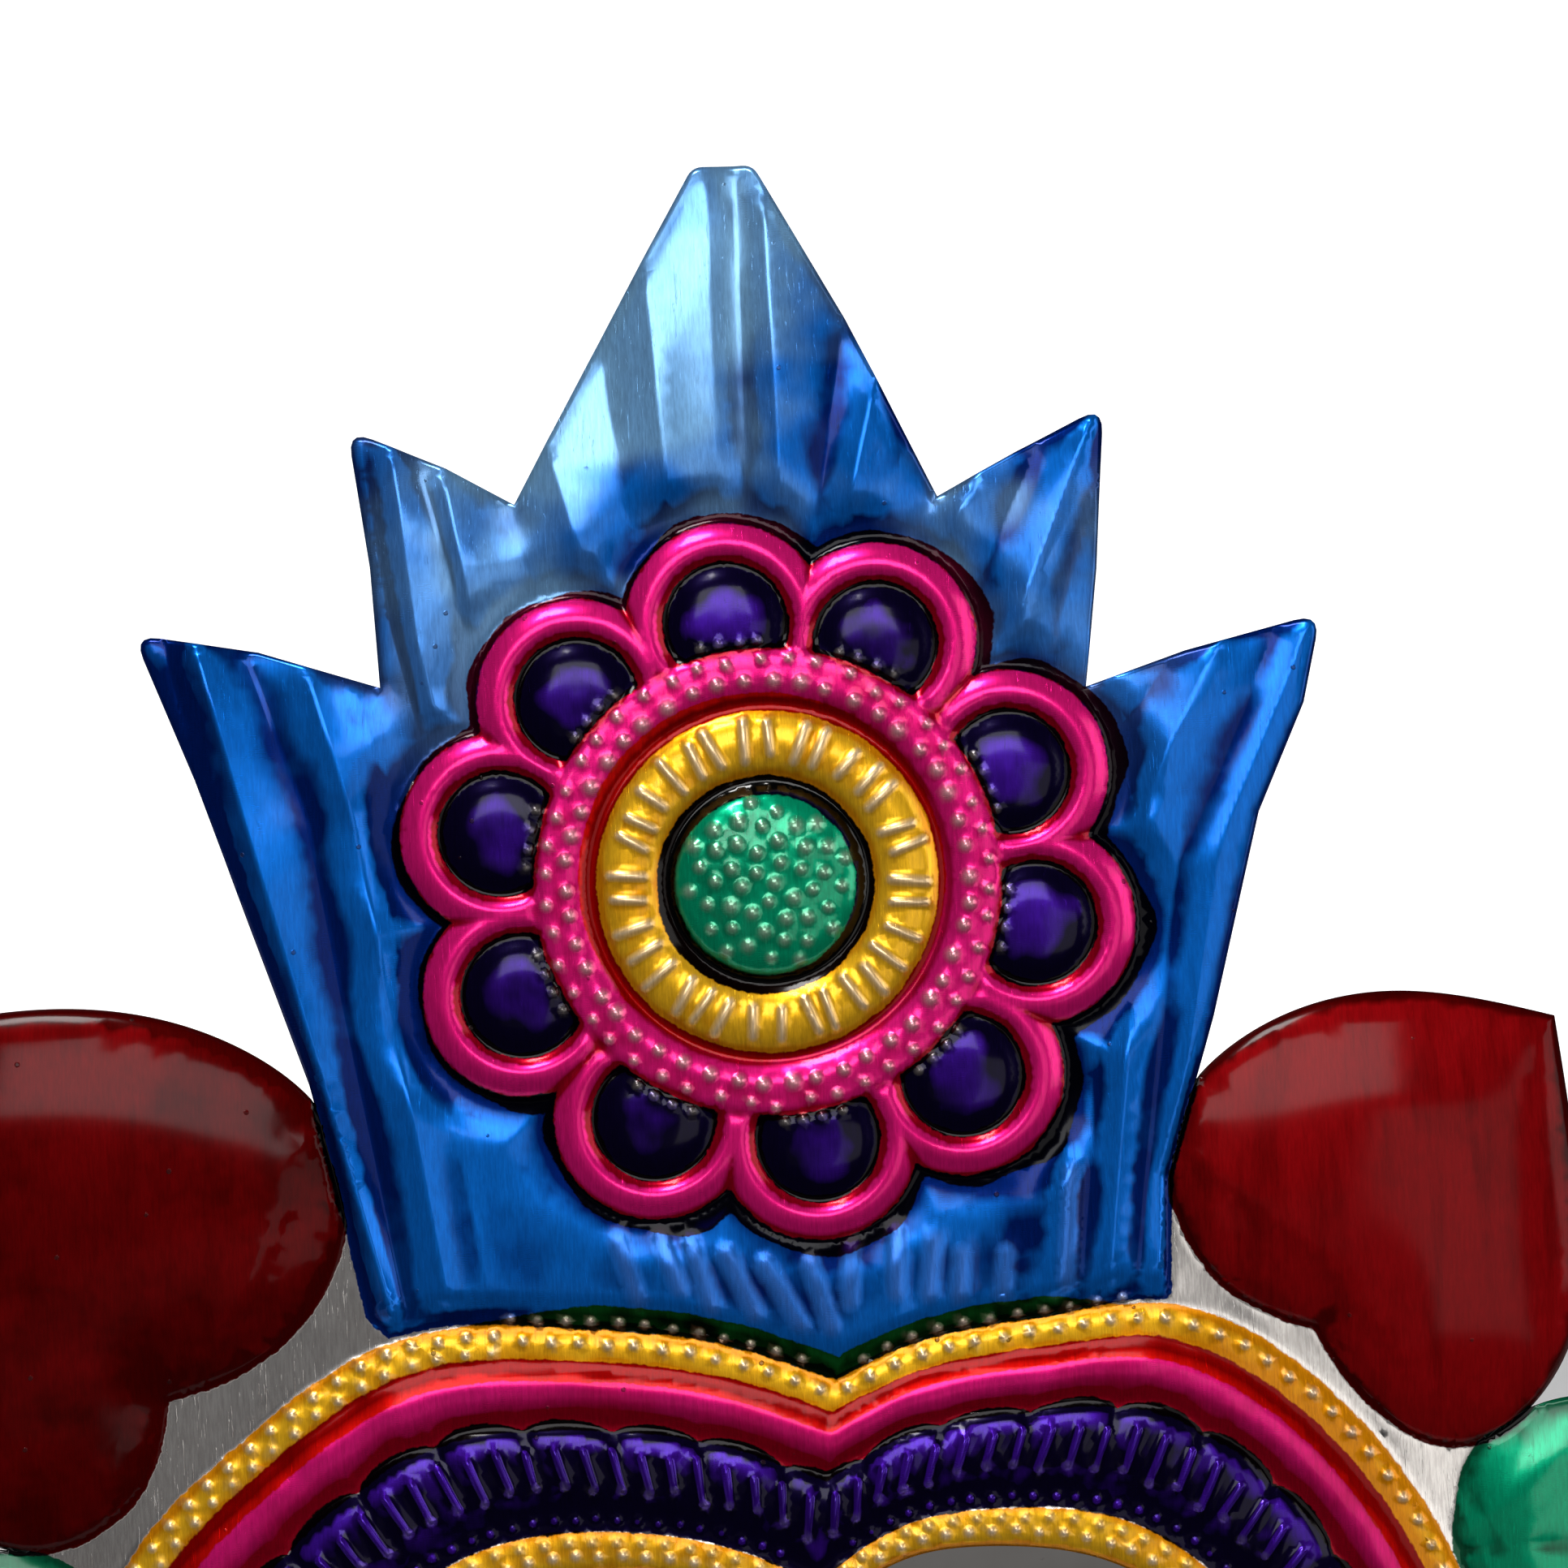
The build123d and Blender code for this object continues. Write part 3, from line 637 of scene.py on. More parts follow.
def fanned(points, lobes):
    """Faint folds that fan out across each lobe from its notch."""
    total = np.zeros(len(points))
    for outline, depth in zip(LOBES, lobes):
        off = points - outline[0]
        turn = np.degrees(np.arctan2(off[:, 1], off[:, 0]))
        far = np.linalg.norm(off, axis=1)
        waves = 0.14 * np.sin(turn / 5.2 + 1.7 * np.sin(turn / 23)) * ramp(far, 14, 34)
        total += np.where(depth > 0, waves, 0.0)
    return total


def pillow(depth, reach):
    """Rises from 0 at an edge to 1 at the reach, level there."""
    return np.sin(np.clip(depth / reach, 0, 1) * math.pi / 2)


def frame_relief(points, f, s):
    """The heart's bands, and how far each scallop pushes the purple band's edge outwards."""
    scallop = np.abs(np.cos(s / SCALLOP_PITCH * math.pi))
    bulge = SCALLOP_BULGE * np.sqrt(scallop)
    warped = f + bulge * np.clip(1 - np.abs(f - 0.43) / 0.13, 0, 1)
    banded = profile(warped, FRAME_PROFILE)
    banded += 0.35 * (scallop ** 0.4 - 0.6) * ramp(f, 0.42, 0.48) * ramp(-f, -0.74, -0.6)
    return banded + 0.05 * dents(points, 9, 12), bulge


def off_centre(points, shift):
    """Distance from the flower's centre for a colour that was laid a little to one side."""
    return np.linalg.norm(points - FLOWER - shift, axis=1)


def lacquer_edges(points, place):
    """How far each point lies inside each lacquer's edge, negative outside it."""
    f, in_frame, bulge, r, petal = [place[key] for key in ("f", "in_frame", "bulge", "r", "petal")]
    crown, gap, in_lobe, in_leaf = [place[key] for key in ("crown", "gap", "in_lobe", "in_leaf")]
    # under the crown the yellow runs up onto the blue
    wide = ramp(points[:, 0], -46, -24) * ramp(-points[:, 0], -40, -28)
    on_crown = np.minimum(crown + OVERLAP, -in_frame + 0.3 + 0.4 * wide)
    # the pink was laid a little low and to the right, and runs out past the petals onto the blue
    shifted_gap = petal_gap(r, petal_places(points - (0.6, -0.3))[1])
    overrun = 1.35 + 0.5 * dents(points, 16, 21) - shifted_gap
    round_insets = np.maximum(petal - 7.0, PINK_RADII[1] - r)
    pink_flower = np.minimum.reduce([overrun, r - PINK_RADII[0], round_insets])
    pink_roll = np.minimum(f - ROLL_BAND[0], ROLL_BAND[1] - f - 0.25 * bulge) * FRAME_WIDTH
    yellow_ring = np.minimum(r - YELLOW_RADII[0], YELLOW_RADII[1] - off_centre(points, (-0.7, 0.7)))
    crown_side = in_frame - 0.6 + 3.0 * wide * (crown > 0)
    yellow_edge = np.minimum(crown_side, (EDGE_BAND_END - f) * FRAME_WIDTH)
    yellow_mount = np.minimum(f - MOUNT_BAND[0], MOUNT_BAND[1] - f) * FRAME_WIDTH
    insets = np.minimum(INSET_RADIUS - petal, r - INSET_START)
    dark_ring = 1.15 - np.abs(off_centre(points, (-0.35, -0.35)) - DARK_RING_RADIUS)
    scallops = np.minimum(f - SCALLOP_BAND[0] + bulge + 0.02, SCALLOP_BAND[1] - f) * FRAME_WIDTH
    leaf = np.minimum(in_leaf + OVERLAP, -np.maximum(in_lobe, in_frame) + 0.6)
    edges = {
        "blue": np.minimum(on_crown, gap + 0.2),
        "magenta": np.maximum(pink_flower, pink_roll),
        "yellow": np.maximum.reduce([yellow_ring, yellow_edge, yellow_mount]),
        "purple": np.maximum.reduce([insets, dark_ring, scallops]),
        "red": np.where(crown > 0.3, -3.0, in_lobe + OVERLAP),
        "green": np.maximum(DOME_RADIUS - r, leaf),
    }
    return {name: np.clip(edge, -3, 3) for name, edge in edges.items()}


def lacquer_depths(points, place):
    """Where a painted highlight lightens the crown's upper middle, and where painted shade darkens the
    lacquer, from 0 to about 1.
    """
    f, r, petal, gap = place["f"], place["r"], place["petal"], place["gap"]
    # painted highlight: the crown's upper middle is made lighter, as if lit from above
    thin = ramp(points[:, 1], 140, 190) * ramp(-np.abs(points[:, 0] + 4), -60, -24)
    # painted shade on the crown's outer left facet and in the ditch around the petals
    outer_facet = fold_x(SIDE_FOLDS_LEFT[1][0], points[:, 1]) - points[:, 0]
    ditch = 0.75 * ramp(-gap, -4.5, -0.5) * (gap > 0)
    painted_shade = np.maximum(0.9 * ramp(outer_facet, -0.3, 0.8), ditch)
    # painted shade on the flanks of the frame's pink roll, lighter along its crest
    roll = (0.35 + 0.6 * ramp(np.abs(f - 0.245), 0.01, 0.10)) * ((f > 0.13) & (f < 0.44))
    painted_shade = np.where(place["in_frame"] > 0, roll, painted_shade)
    # the outer yellow band darker and more amber towards its right end
    painted_shade = np.where((f > -0.1) & (f < 0.13), 0.7 * ramp(points[:, 0], 42, 52), painted_shade)
    # painted shade at the rims of the petal insets, lighter in their middles
    inset = 0.15 + 0.85 * ramp(petal + 0.8 * dents(points, 7, 31), 2.5, 6.5)
    painted_shade = np.where((petal < 8.5) & (r > 28.5), inset, painted_shade)
    return thin, painted_shade


def survey(points, with_marks=True):
    """At every point: height above the sheet's face, the lacquers, and how much to smooth it."""
    f, s = heart_places(points)
    crown = inside_distance(points, CROWN)
    lobes = [inside_distance(points, o) for o in LOBES]
    leaves = [inside_distance(points, o) for o in LEAVES]
    in_lobe = np.max(lobes, axis=0)
    r, petal = petal_places(points)
    gap = petal_gap(r, petal)
    in_frame = (f + 0.02) * FRAME_WIDTH

    height = 0.06 * dents(points, 14, 5)
    near_frame = 1 - ramp(-in_frame, 0.0, 4.0)
    on_crown = crown_relief(points, crown, gap) * (1 - near_frame)
    on_crown += 0.3 * near_frame * ramp(crown, 0.0, 1.3)
    height = np.where(crown > -EDGE_SLACK, on_crown, height)
    on_lobe = (LOBE_RISE - 0.3) * pillow(in_lobe, 12.5) + 0.3 * ramp(in_lobe, 0, 0.8)
    on_lobe += 0.10 * dents(points, 30, 9) * ramp(in_lobe, 0, 5)
    on_lobe += fanned(points, lobes) * ramp(in_lobe, 1, 7)
    height = np.where((in_lobe > -EDGE_SLACK) & (crown < -EDGE_SLACK), on_lobe, height)
    for depth, spine in zip(leaves, LEAF_SPINES):
        use = (depth > -EDGE_SLACK) & (in_lobe < -EDGE_SLACK) & (in_frame < 0)
        height = np.where(use, leaf_relief(points, depth, spine), height)
    banded, bulge = frame_relief(points, f, s)
    height = np.where(in_frame > 0, banded * ramp(in_frame, 0, 2.2), height)
    in_flower = ramp(-gap, -0.5, 0.3)
    bloom = height * (1 - in_flower) + flower_relief(r, petal) * in_flower
    height = np.maximum(np.where(gap < 0.5, bloom, height), 0.0)
    extra, wear_and_sheen = marks_relief(points) if with_marks else (0.0, np.zeros(len(points)))

    place = {"f": f, "in_frame": in_frame, "crown": crown, "gap": gap, "bulge": bulge, "r": r,
             "petal": petal, "in_lobe": in_lobe, "in_leaf": np.max(leaves, axis=0)}
    thin, painted_shade = lacquer_depths(points, place)
    fields = {**lacquer_edges(points, place), "wear_and_sheen": wear_and_sheen, "thin": thin, "painted_shade": painted_shade}
    return height + extra, fields, 0.9 * ramp(in_lobe, 2.5, 7.0)


# ---- mesh ----
POINT_GAP = 0.3
BLOOM_RADIUS = 46.5
# Grid steps on the flower, the frame and the rest of the sheet
FINE_STEPS = (0.62, 0.82, 1.45)
COARSE_STEPS = (1.1, 1.7, 2.4)


def hex_points(low, high, step):
    """A grid whose every other row is shifted by half a step."""
    rows = []
    for i, z in enumerate(np.arange(low[1], high[1], step * math.sqrt(3) / 2)):
        x = np.arange(low[0] + (i % 2) * step / 2, high[0], step)
        rows.append(np.c_[x, np.full(len(x), z)])
    return np.vstack(rows)


def thinned(candidates, taken, gap):
    """The candidates that keep their distance from the points already taken."""
    tree = flat_tree(taken)
    keep = [k for k, p in enumerate(candidates) if tree.find((p[0], p[1], 0.0))[2] > gap]
    return candidates[keep]


def spread(spots, gap):
    """Drops each spot that lies too near an earlier one."""
    kept, cells = [], {}
    for p in spots:
        cell = (math.floor(p[0] / gap), math.floor(p[1] / gap))
        beside = [(cell[0] + i, cell[1] + j) for i in (-1, 0, 1) for j in (-1, 0, 1)]
        around = [q for c in beside for q in cells.get(c, [])]
        if all((p[0] - q[0]) ** 2 + (p[1] - q[1]) ** 2 > gap * gap for q in around):
            kept.append(p)
            cells.setdefault(cell, []).append(p)
    return np.array(kept)


def detail_points():
    """Points that every mark, every fold and the strip beside every outline need."""
    special = [p for mark in MARKS for p in mark.points()]
    for folds, top, bottom in ((SIDE_FOLDS_LEFT, 175, 84), (SIDE_FOLDS_RIGHT, 168, 86),
                               (UPPER_FOLDS, 226, 150)):
        for points, _ in folds:
            for z in np.arange(bottom, top, 1.3):
                x = float(fold_x(points, z))
                special += [np.array((x + o, z)) for o in (-0.4, 0.0, 0.4)]
    for outline in PARTS:
        tangent = np.roll(outline, -1, axis=0) - np.roll(outline, 1, axis=0)
        tangent /= np.linalg.norm(tangent, axis=1)[:, None]
        inward = np.c_[-tangent[:, 1], tangent[:, 0]]
        for depth in (-1.3, -0.6, 0.6, 1.3):
            special += list(outline + inward * depth)
    return spread(special, POINT_GAP)


def sheet_layer(fine):
    """Triangles over the sheet's outline; the fine layer carries every mark."""
    low = np.min([p.min(0) for p in PARTS], axis=0)
    high = np.max([p.max(0) for p in PARTS], axis=0)
    taken = np.vstack(PARTS + [OPENING])
    if fine:
        taken = np.vstack([taken, thinned(detail_points(), taken, POINT_GAP)])
    steps = FINE_STEPS if fine else COARSE_STEPS
    for step, zone in zip(steps, ("flower", "frame", "rest")):
        grid = hex_points(low, high, step)
        framed = (inside_distance(grid, HEART, 3.0) > -1.5) & (inside_distance(grid, OPENING, 3.0) < 0.5)
        bloom = np.linalg.norm(grid - FLOWER, axis=1) < BLOOM_RADIUS
        where = {"flower": bloom, "frame": framed & ~bloom, "rest": ~framed & ~bloom}[zone]
        taken = np.vstack([taken, thinned(grid[where], taken, step * 0.62)])
    loops, n = [], 0
    for outline in PARTS + [OPENING]:
        loops.append(list(range(n, n + len(outline))))
        n += len(outline)
    spots = [Vector(p) for p in taken.tolist()]
    verts, _, faces, _, _, origins = delaunay_2d_cdt(spots, [], loops, 1, 1e-5)
    hole = len(loops) - 1
    faces = [f for f, o in zip(faces, origins) if hole not in o]
    points = np.array([v[:] for v in verts])
    used = np.unique(np.array(faces))
    renumber = np.full(len(points), -1)
    renumber[used] = np.arange(len(used))
    return points[used], renumber[np.array(faces)]


def sides_of(tris):
    return np.vstack([tris[:, [0, 1]], tris[:, [1, 2]], tris[:, [2, 0]]])


def rim_edges(tris):
    """Edges used by one triangle, in that triangle's order."""
    pairs = sides_of(tris)
    _, index, count = np.unique(np.sort(pairs, axis=1), axis=0, return_index=True, return_counts=True)
    return pairs[index[count == 1]]


def levelled(height, tris, passes, share=1.0):
    """The height averaged with its neighbours', over and over; share says how much at each point."""
    a, b = np.unique(np.sort(sides_of(tris), axis=1), axis=0).T
    count = np.bincount(a, minlength=len(height)) + np.bincount(b, minlength=len(height))
    level = height.copy()
    for _ in range(passes):
        total = np.bincount(a, level[b], len(height)) + np.bincount(b, level[a], len(height))
        level = level + share * (total / np.maximum(count, 1) - level)
    return level


def sunk(height, tris):
    """The lowest height of each point and its neighbours, so a coarse layer stays behind a fine one."""
    low = height.copy()
    a, b = sides_of(tris).T
    np.minimum.at(low, a, height[b])
    np.minimum.at(low, b, height[a])
    return low


def build_mesh(name, verts, faces, smooth=True):
    mesh = bpy.data.meshes.new(name)
    mesh.from_pydata((np.asarray(verts) * MM).tolist(), [], faces)
    mesh.polygons.foreach_set("use_smooth", [smooth] * len(mesh.polygons))
    mesh.update()
    obj = bpy.data.objects.new(name, mesh)
    bpy.context.scene.collection.objects.link(obj)
    return obj


def back_heights(back, back_tris, front, front_tris, height):
    """The back layer's heights: close behind the front, and level with it all along the cut edge."""
    back_height, _, soft = survey(back, with_marks=False)
    back_height = sunk(levelled(back_height, back_tris, 15, soft), back_tris)
    back_height = levelled(back_height, back_tris, 2)
    front_rim = flat_tree(front, np.unique(rim_edges(front_tris)))
    for k in np.unique(rim_edges(back_tris)):
        back_height[k] = height[front_rim.find((back[k, 0], back[k, 1], 0.0))[1]]
    return np.maximum(back_height, 0)


def front_sheet():
    back_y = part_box("front_sheet")[1].y / MM
    front, front_tris = sheet_layer(True)
    back, back_tris = sheet_layer(False)
    height, fields, soft = survey(front)
    height = levelled(height, front_tris, 40, soft)
    back_height = back_heights(back, back_tris, front, front_tris, height)
    verts = np.vstack([np.c_[front[:, 0], back_y - GAUGE - height, front[:, 1]],
                       np.c_[back[:, 0], back_y - back_height, back[:, 1]]])
    first = front[front_tris[0]]
    flip = 1 if np.cross(first[1] - first[0], first[2] - first[0]) > 0 else -1
    faces = front_tris[:, ::flip].tolist() + (back_tris[:, ::-flip] + len(front)).tolist()
    tree = flat_tree(back)
    for a, b in rim_edges(front_tris[:, ::flip]):
        other = [tree.find((*front[k], 0.0))[1] + len(front) for k in (a, b)]
        if other[0] != other[1]:
            faces.append([int(b), int(a), other[0], other[1]])
    obj = build_mesh("embossed_sheet", verts, faces)
    # how far each point lies below its surroundings: positive in a recess, negative on a crest; the
    # lacquer uses it for pooling and painted shade in recesses and a painted highlight on crests
    fields["hollow"] = np.clip(levelled(height, front_tris, 6) - height, -1.0, 1.0)
    for key, values in fields.items():
        filler = -3.0 if key in LACQUERS else 0.0          # the back is bare tin
        layer = obj.data.attributes.new(key, "FLOAT", "POINT")
        filled = np.concatenate([values, np.full(len(back), filler)])
        layer.data.foreach_set("value", filled.astype(np.float32))
    return obj


# ---- materials ----
class Shader:
    """A material's nodes, with values and links given by socket name."""

    def __init__(self, name):
        self.material = bpy.data.materials.new(name)
        self.material.use_nodes = True
        self.tree = self.material.node_tree
        self.tree.nodes.clear()
        self.place = self.node("ShaderNodeTexCoord").outputs["Object"]

    def node(self, kind, inputs=None, **settings):
        n = self.tree.nodes.new(kind)
        for key, value in settings.items():
            setattr(n, key, value)
        for key, value in (inputs or {}).items():
            if isinstance(value, bpy.types.NodeSocket):
                self.tree.links.new(value, n.inputs[key])
            else:
                n.inputs[key].default_value = value
        return n

    def math(self, operation, a, b=0.0, c=0.0):
        return self.node("ShaderNodeMath", {0: a, 1: b, 2: c}, operation=operation).outputs[0]

    def add(self, a, b):
        return self.math("ADD", a, b)

    def times(self, a, b):
        return self.math("MULTIPLY", a, b)

    def noise(self, scale, detail=3.0, roughness=0.55, stretch=None, distortion=0.0):
        place = self.place
        if stretch:
            place = self.node("ShaderNodeMapping", {"Vector": place, "Scale": stretch}).outputs[0]
        inputs = {"Vector": place, "Scale": scale, "Detail": detail, "Roughness": roughness,
                  "Distortion": distortion}
        return self.node("ShaderNodeTexNoise", inputs).outputs["Fac"]

    def attribute(self, name):
        return self.node("ShaderNodeAttribute", attribute_name=name).outputs["Fac"]

    def range(self, value, low, high, to_low=0.0, to_high=1.0):
        inputs = {"Value": value, "From Min": low, "From Max": high, "To Min": to_low, "To Max": to_high}
        return self.node("ShaderNodeMapRange", inputs, interpolation_type="SMOOTHSTEP").outputs[0]

    def mix(self, amount, a, b, blend="MIX"):
        n = self.node("ShaderNodeMix", data_type="RGBA", blend_type=blend)
        for socket, value in ((n.inputs[0], amount), (n.inputs[6], a), (n.inputs[7], b)):
            if isinstance(value, bpy.types.NodeSocket):
                self.tree.links.new(value, socket)
            else:
                socket.default_value = value if isinstance(value, float) else (*value, 1.0)
        return n.outputs[2]

    def bump(self, height, distance, strength=1.0, normal=None):
        inputs = {"Height": height, "Distance": distance, "Strength": strength}
        if normal is not None:
            inputs["Normal"] = normal
        return self.node("ShaderNodeBump", inputs).outputs[0]

    def finish(self, **inputs):
        """The material, from the Principled node's inputs by name, as coat_ior for Coat IOR."""
        named = {key.replace("_", " ").title().replace("Ior", "IOR"): value
                 for key, value in inputs.items()}
        principled = self.node("ShaderNodeBsdfPrincipled", named)
        self.node("ShaderNodeOutputMaterial", {"Surface": principled.outputs[0]})
        return self.material


# Each lacquer's colour where it is thin over the bright tin and where it has pooled, the darker one also
# standing for painted shade, how thick it lies, its clear gloss, and how much it dulls the metal's own
# reflection
LACQUERS = {
    "blue": ((0.004, 0.165, 0.74), (0.0, 0.014, 0.15), 0.0, 0.12, 0.03),
    "magenta": ((0.88, 0.012, 0.24), (0.34, 0.0, 0.014), 0.0, 0.18, 0.05),
    "yellow": ((1.0, 0.56, 0.02), (0.76, 0.28, 0.003), 0.0, 0.18, 0.08),
    "purple": ((0.075, 0.010, 0.50), (0.003, 0.001, 0.020), 0.55, 0.20, 0.05),
    "red": ((0.27, 0.002, 0.004), (0.06, 0.0, 0.0), 0.05, 0.14, 0.36),
    "green": ((0.0, 0.40, 0.20), (0.0, 0.09, 0.04), 0.0, 0.42, 0.04),
}
HIGHLIGHT_BLUE = (0.26, 0.58, 0.97)      # painted highlight: the pale blue that lightens the crown's upper folds, as if lit from above


def lacquered_tin():
    s = Shader("lacquered_tin")
    wobble = s.math("MULTIPLY_ADD", s.noise(260.0, 4.0, 0.6), 1.9, -0.95)
    fine = s.math("MULTIPLY_ADD", s.noise(1500.0, 2.0), 0.4, -0.2)
    blotch = s.noise(55.0, 4.0, 0.6)
    grain = s.noise(900.0, 2.0, 0.5, stretch=(1.0, 1.0, 14.0))
    brushed = s.noise(420.0, 4.0, 0.7, stretch=(9.0, 1.0, 1.0))
    scratch = s.range(s.noise(90.0, 2.0, 0.4, stretch=(30.0, 1.0, 2.2), distortion=1.5), 0.66, 0.70)
    streaks = s.noise(110.0, 3.0, 0.6, stretch=(2.2, 1.0, 0.3))
    bare = s.mix(s.range(brushed, 0.3, 0.7), (0.55, 0.52, 0.50), (0.74, 0.72, 0.69))
    bare = s.mix(s.times(scratch, 0.18), bare, (0.9, 0.89, 0.87))
    colour, painted, gloss, dull = bare, 0.0, 0.0, 0.0
    wear_and_sheen = s.attribute("wear_and_sheen")
    hollow = s.attribute("hollow")
    # lacquer pooling and painted shade in recesses, a painted highlight on crests, plus the painted shade
    # laid out in lacquer_depths
    pooling_and_painted_shade = s.add(s.range(hollow, -0.10, 0.22, -0.45, 0.75), s.attribute("painted_shade"))
    painted_highlight = s.times(s.attribute("thin"), s.range(s.noise(38.0, 3.0), 0.38, 0.60))
    for name, (thin, pooled, thickness, shine, matt) in LACQUERS.items():
        edge = s.add(s.add(s.attribute(name), s.times(wobble, 0.45)), fine)
        cover = s.range(edge, -0.1, 0.12)
        pool = s.range(edge, 0.9, 0.0, 0.0, 0.55)
        uneven = s.range(blotch, 0.33, 0.7, thickness, thickness + 0.6)
        depth = s.add(s.add(uneven, pool), pooling_and_painted_shade)
        tint = s.mix(s.math("MAXIMUM", s.math("MINIMUM", depth, 1.0), 0.0), thin, pooled)
        if name == "red":
            tint = s.mix(s.range(streaks, 0.48, 0.74, 0.0, 0.5), tint, pooled)
        # painted highlight: the blue on the crown's upper middle is mixed toward a pale blue
        if name == "blue":
            tint = s.mix(s.times(painted_highlight, 0.8), tint, HIGHLIGHT_BLUE)
        # tops of beads and ridges mixed toward bare tin: partly real wear, partly a painted highlight
        tint = s.mix(s.times(wear_and_sheen, 0.75), tint, (0.86, 0.80, 0.72))
        colour = s.mix(cover, colour, tint, "MULTIPLY")
        painted = s.math("MAXIMUM", painted, cover)
        gloss = s.math("MAXIMUM", gloss, s.times(cover, shine))
        dull = s.math("MAXIMUM", dull, s.times(cover, matt))
    bubbles = s.node("ShaderNodeTexVoronoi", {"Vector": s.place, "Scale": 210.0, "Randomness": 1.0})
    speck = s.range(bubbles.outputs["Distance"], 0.075, 0.045)
    chosen = s.range(s.noise(70.0, 1.0), 0.5, 0.54)
    speck = s.times(s.times(speck, chosen), painted)
    colour = s.mix(s.times(speck, 0.55), colour, (0.02, 0.01, 0.01))
    roughness = s.add(s.range(blotch, 0.3, 0.7, 0.20, 0.24), s.times(grain, 0.02))
    roughness = s.add(roughness, dull)
    metallic = s.math("MULTIPLY_ADD", painted, -0.45, 1.0)
    roughness = s.add(roughness, s.times(speck, 0.2))
    skin = s.bump(s.noise(230.0, 2.0), 0.000018, 1.0)
    skin = s.bump(grain, 0.000002, 1.0, skin)
    skin = s.bump(s.add(speck, s.times(scratch, 0.2)), 0.00006, 1.0, skin)
    coat = s.bump(speck, 0.0001, 1.0)
    return s.finish(base_color=colour, metallic=metallic, roughness=roughness, normal=skin,
                    coat_weight=gloss, specular_ior_level=0.0,
                    coat_roughness=0.12, coat_ior=1.5, coat_normal=coat)


def mirror_silver():
    s = Shader("aged_mirror")
    haze = s.noise(45.0, 4.0, 0.6)
    spots = s.range(s.noise(420.0, 3.0), 0.68, 0.74)
    colour = s.mix(s.range(haze, 0.3, 0.75), (0.60, 0.58, 0.55), (0.70, 0.69, 0.67))
    colour = s.mix(s.times(spots, 0.5), colour, (0.25, 0.22, 0.19))
    rough = s.add(s.range(haze, 0.4, 0.8, 0.02, 0.07), s.times(spots, 0.1))
    return s.finish(base_color=colour, metallic=1.0, roughness=rough, coat_weight=1.0, coat_roughness=0.02)


def tinplate(name, light, dark, rough):
    """Bare tinplate with rolling marks, dull patches and a few scratches."""
    s = Shader(name)
    rolled = s.noise(500.0, 3.0, 0.6, stretch=(8.0, 1.0, 1.0))
    patch = s.noise(60.0, 5.0, 0.6)
    colour = s.mix(s.range(patch, 0.35, 0.7), light, dark)
    colour = s.mix(s.range(rolled, 0.3, 0.7, 0.0, 0.25), colour, (0.85, 0.84, 0.82))
    patchy = s.range(patch, 0.3, 0.7, rough, rough + 0.16)
    roughness = s.add(patchy, s.times(rolled, 0.06))
    normal = s.bump(rolled, 0.00002)
    normal = s.bump(patch, 0.0002, 0.6, normal)
    return s.finish(base_color=colour, metallic=1.0, roughness=roughness, normal=normal)


def grey_card():
    s = Shader("pressed_card")
    fibre = s.noise(1400.0, 5.0, 0.7, stretch=(1.0, 1.0, 3.0))
    stain = s.noise(35.0, 4.0)
    colour = s.mix(s.range(fibre, 0.3, 0.7), (0.20, 0.15, 0.10), (0.33, 0.26, 0.18))
    colour = s.mix(s.range(stain, 0.5, 0.8, 0.0, 0.4), colour, (0.12, 0.09, 0.06))
    return s.finish(base_color=colour, roughness=0.9, normal=s.bump(fibre, 0.00008))


def solder_grey():
    s = Shader("solder_grey")
    frost = s.noise(700.0, 4.0, 0.7)
    flux = s.range(s.noise(180.0, 3.0), 0.55, 0.75)
    colour = s.mix(s.range(frost, 0.3, 0.7), (0.42, 0.42, 0.43), (0.62, 0.62, 0.62))
    colour = s.mix(s.times(flux, 0.6), colour, (0.16, 0.11, 0.05))
    return s.finish(base_color=colour, metallic=1.0, roughness=s.range(frost, 0.3, 0.7, 0.3, 0.5),
                    normal=s.bump(frost, 0.00005))


def studio_white(name, strength):
    """Paper backdrop: almost white, with the faintest unevenness."""
    s = Shader(name)
    tone = s.mix(s.noise(2.0, 2.0), (0.97, 0.97, 0.97), (1.0, 1.0, 1.0))
    return s.finish(base_color=tone, roughness=0.9, emission_color=tone, emission_strength=strength)


# ---- object ----
def dress(nodes, material):
    for name in nodes:
        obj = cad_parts[name]
        obj.data.materials.clear()
        obj.data.materials.append(material)


sheet = front_sheet()
sheet.data.materials.append(lacquered_tin())
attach(sheet, "plaque")
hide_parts("front_sheet")

clips = [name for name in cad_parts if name.startswith("retaining_clip")]
dress(["mirror_glass"], mirror_silver())
dress(["backing_card"], grey_card())
dress(["back_tray"], tinplate("tray_tinplate", (0.52, 0.51, 0.50), (0.34, 0.33, 0.32), 0.34))
dress(clips + ["hanger_strap"], tinplate("strip_tinplate", (0.62, 0.61, 0.60), (0.46, 0.45, 0.43), 0.26))
dress(["hanger_ring"], tinplate("wire_steel", (0.50, 0.49, 0.48), (0.30, 0.28, 0.27), 0.24))
dress(["clip_solder", "hanger_solder"], solder_grey())

# ---- camera, light and stage ----
VIEW_CENTRE = Vector((0.0, -0.0042, 0.150))
VIEW_DISTANCE = 0.6
VIEW_WIDTH = 0.1932
TILT = math.radians(2.5)

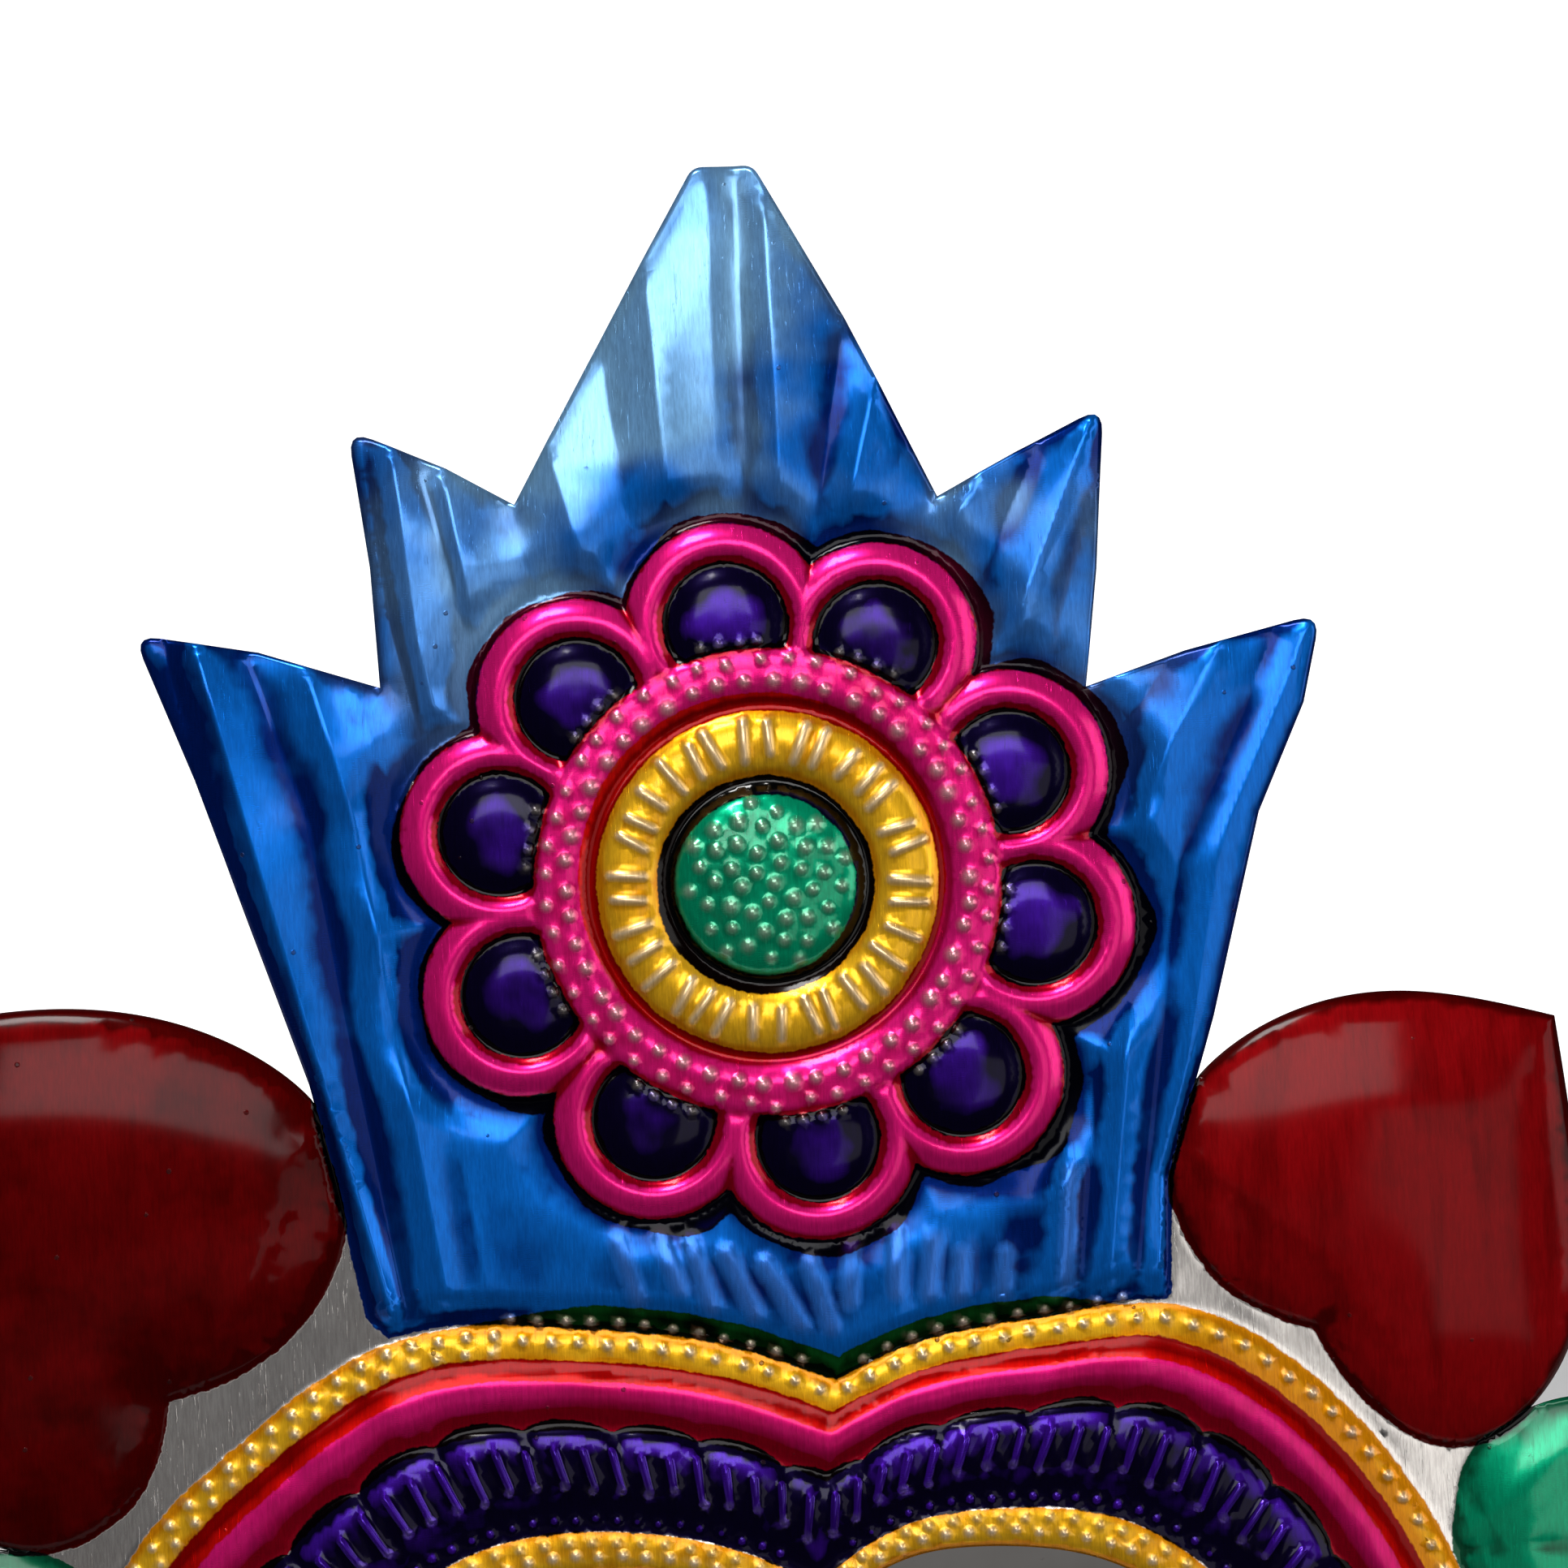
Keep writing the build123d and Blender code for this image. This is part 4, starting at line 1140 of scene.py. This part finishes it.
camera = bpy.data.objects.new("camera", bpy.data.cameras.new("camera"))
bpy.context.scene.collection.objects.link(camera)
right = Vector((math.cos(TILT), 0.0, -math.sin(TILT)))
up = Vector((math.sin(TILT), 0.0, math.cos(TILT)))
turn = Matrix((right, up, Vector((0.0, -1.0, 0.0)))).transposed().to_4x4()
camera.matrix_world = Matrix.Translation(VIEW_CENTRE + Vector((0.0, -VIEW_DISTANCE, 0.0))) @ turn
camera.data.angle = 2 * math.atan(VIEW_WIDTH / 2 / VIEW_DISTANCE)
camera.data.clip_start = 0.01
bpy.context.scene.camera = camera


MIDDLE = (0.0, 0.0, 0.13)


def panel(name, place, target, width, height, radiance, colour=(1.0, 1.0, 1.0)):
    """A rectangular light of a given brightness, whatever its size."""
    light = bpy.data.lights.new(name, "AREA")
    light.shape = "RECTANGLE"
    light.size, light.size_y = width, height
    light.energy = 4.0 * width * height * radiance
    light.color = colour
    obj = bpy.data.objects.new(name, light)
    bpy.context.scene.collection.objects.link(obj)
    obj.location = place
    obj.rotation_mode = "QUATERNION"
    obj.rotation_quaternion = (Vector(target) - Vector(place)).to_track_quat("-Z", "Y")
    obj.visible_camera = False


panel("top_softbox", (-0.05, -0.75, 0.41), (-0.05, 0.0, 0.35), 0.46, 0.30, 5.8)
panel("front_right", (0.36, -0.80, 0.00), (0.10, 0.0, 0.08), 0.44, 0.42, 1.2, (1.0, 0.97, 0.94))
panel("front_low", (-0.05, -0.85, -0.12), (-0.05, 0.0, -0.02), 0.55, 0.22, 0.10, (1.0, 0.95, 0.90))
panel("top_lamp", (-0.22, -0.48, 0.85), MIDDLE, 0.22, 0.18, 40.0, (1.0, 0.98, 0.96))
panel("right_panel", (0.85, -0.45, 0.25), MIDDLE, 0.40, 0.70, 2.5, (1.0, 0.98, 0.96))
panel("back_fill", (-0.5, 0.9, 0.7), MIDDLE, 0.6, 0.6, 3.0)

# Floor and backdrop, in millimetres
SIDE, NEAR, FAR, TOP = 1500, -60, 2200, 1600
GROUND = cad_box[0].z / MM
WORLD_GREY = (0.04, 0.04, 0.045, 1.0)
on_floor = [(-SIDE, NEAR, GROUND), (SIDE, NEAR, GROUND), (SIDE, FAR, GROUND), (-SIDE, FAR, GROUND)]
on_wall = [(-SIDE, FAR, GROUND), (SIDE, FAR, GROUND), (SIDE, FAR, TOP), (-SIDE, FAR, TOP)]
floor = build_mesh("floor", on_floor, [[0, 1, 2, 3]], smooth=False)
floor.data.materials.append(studio_white("floor_paper", 0.0))
backdrop = build_mesh("backdrop", on_wall, [[0, 1, 2, 3]], smooth=False)
backdrop.data.materials.append(studio_white("backdrop_paper", 1.0))

world = bpy.data.worlds.new("studio")
world.use_nodes = True
world.node_tree.nodes["Background"].inputs["Color"].default_value = WORLD_GREY
bpy.context.scene.world = world
bpy.context.scene.view_settings.view_transform = "Standard"
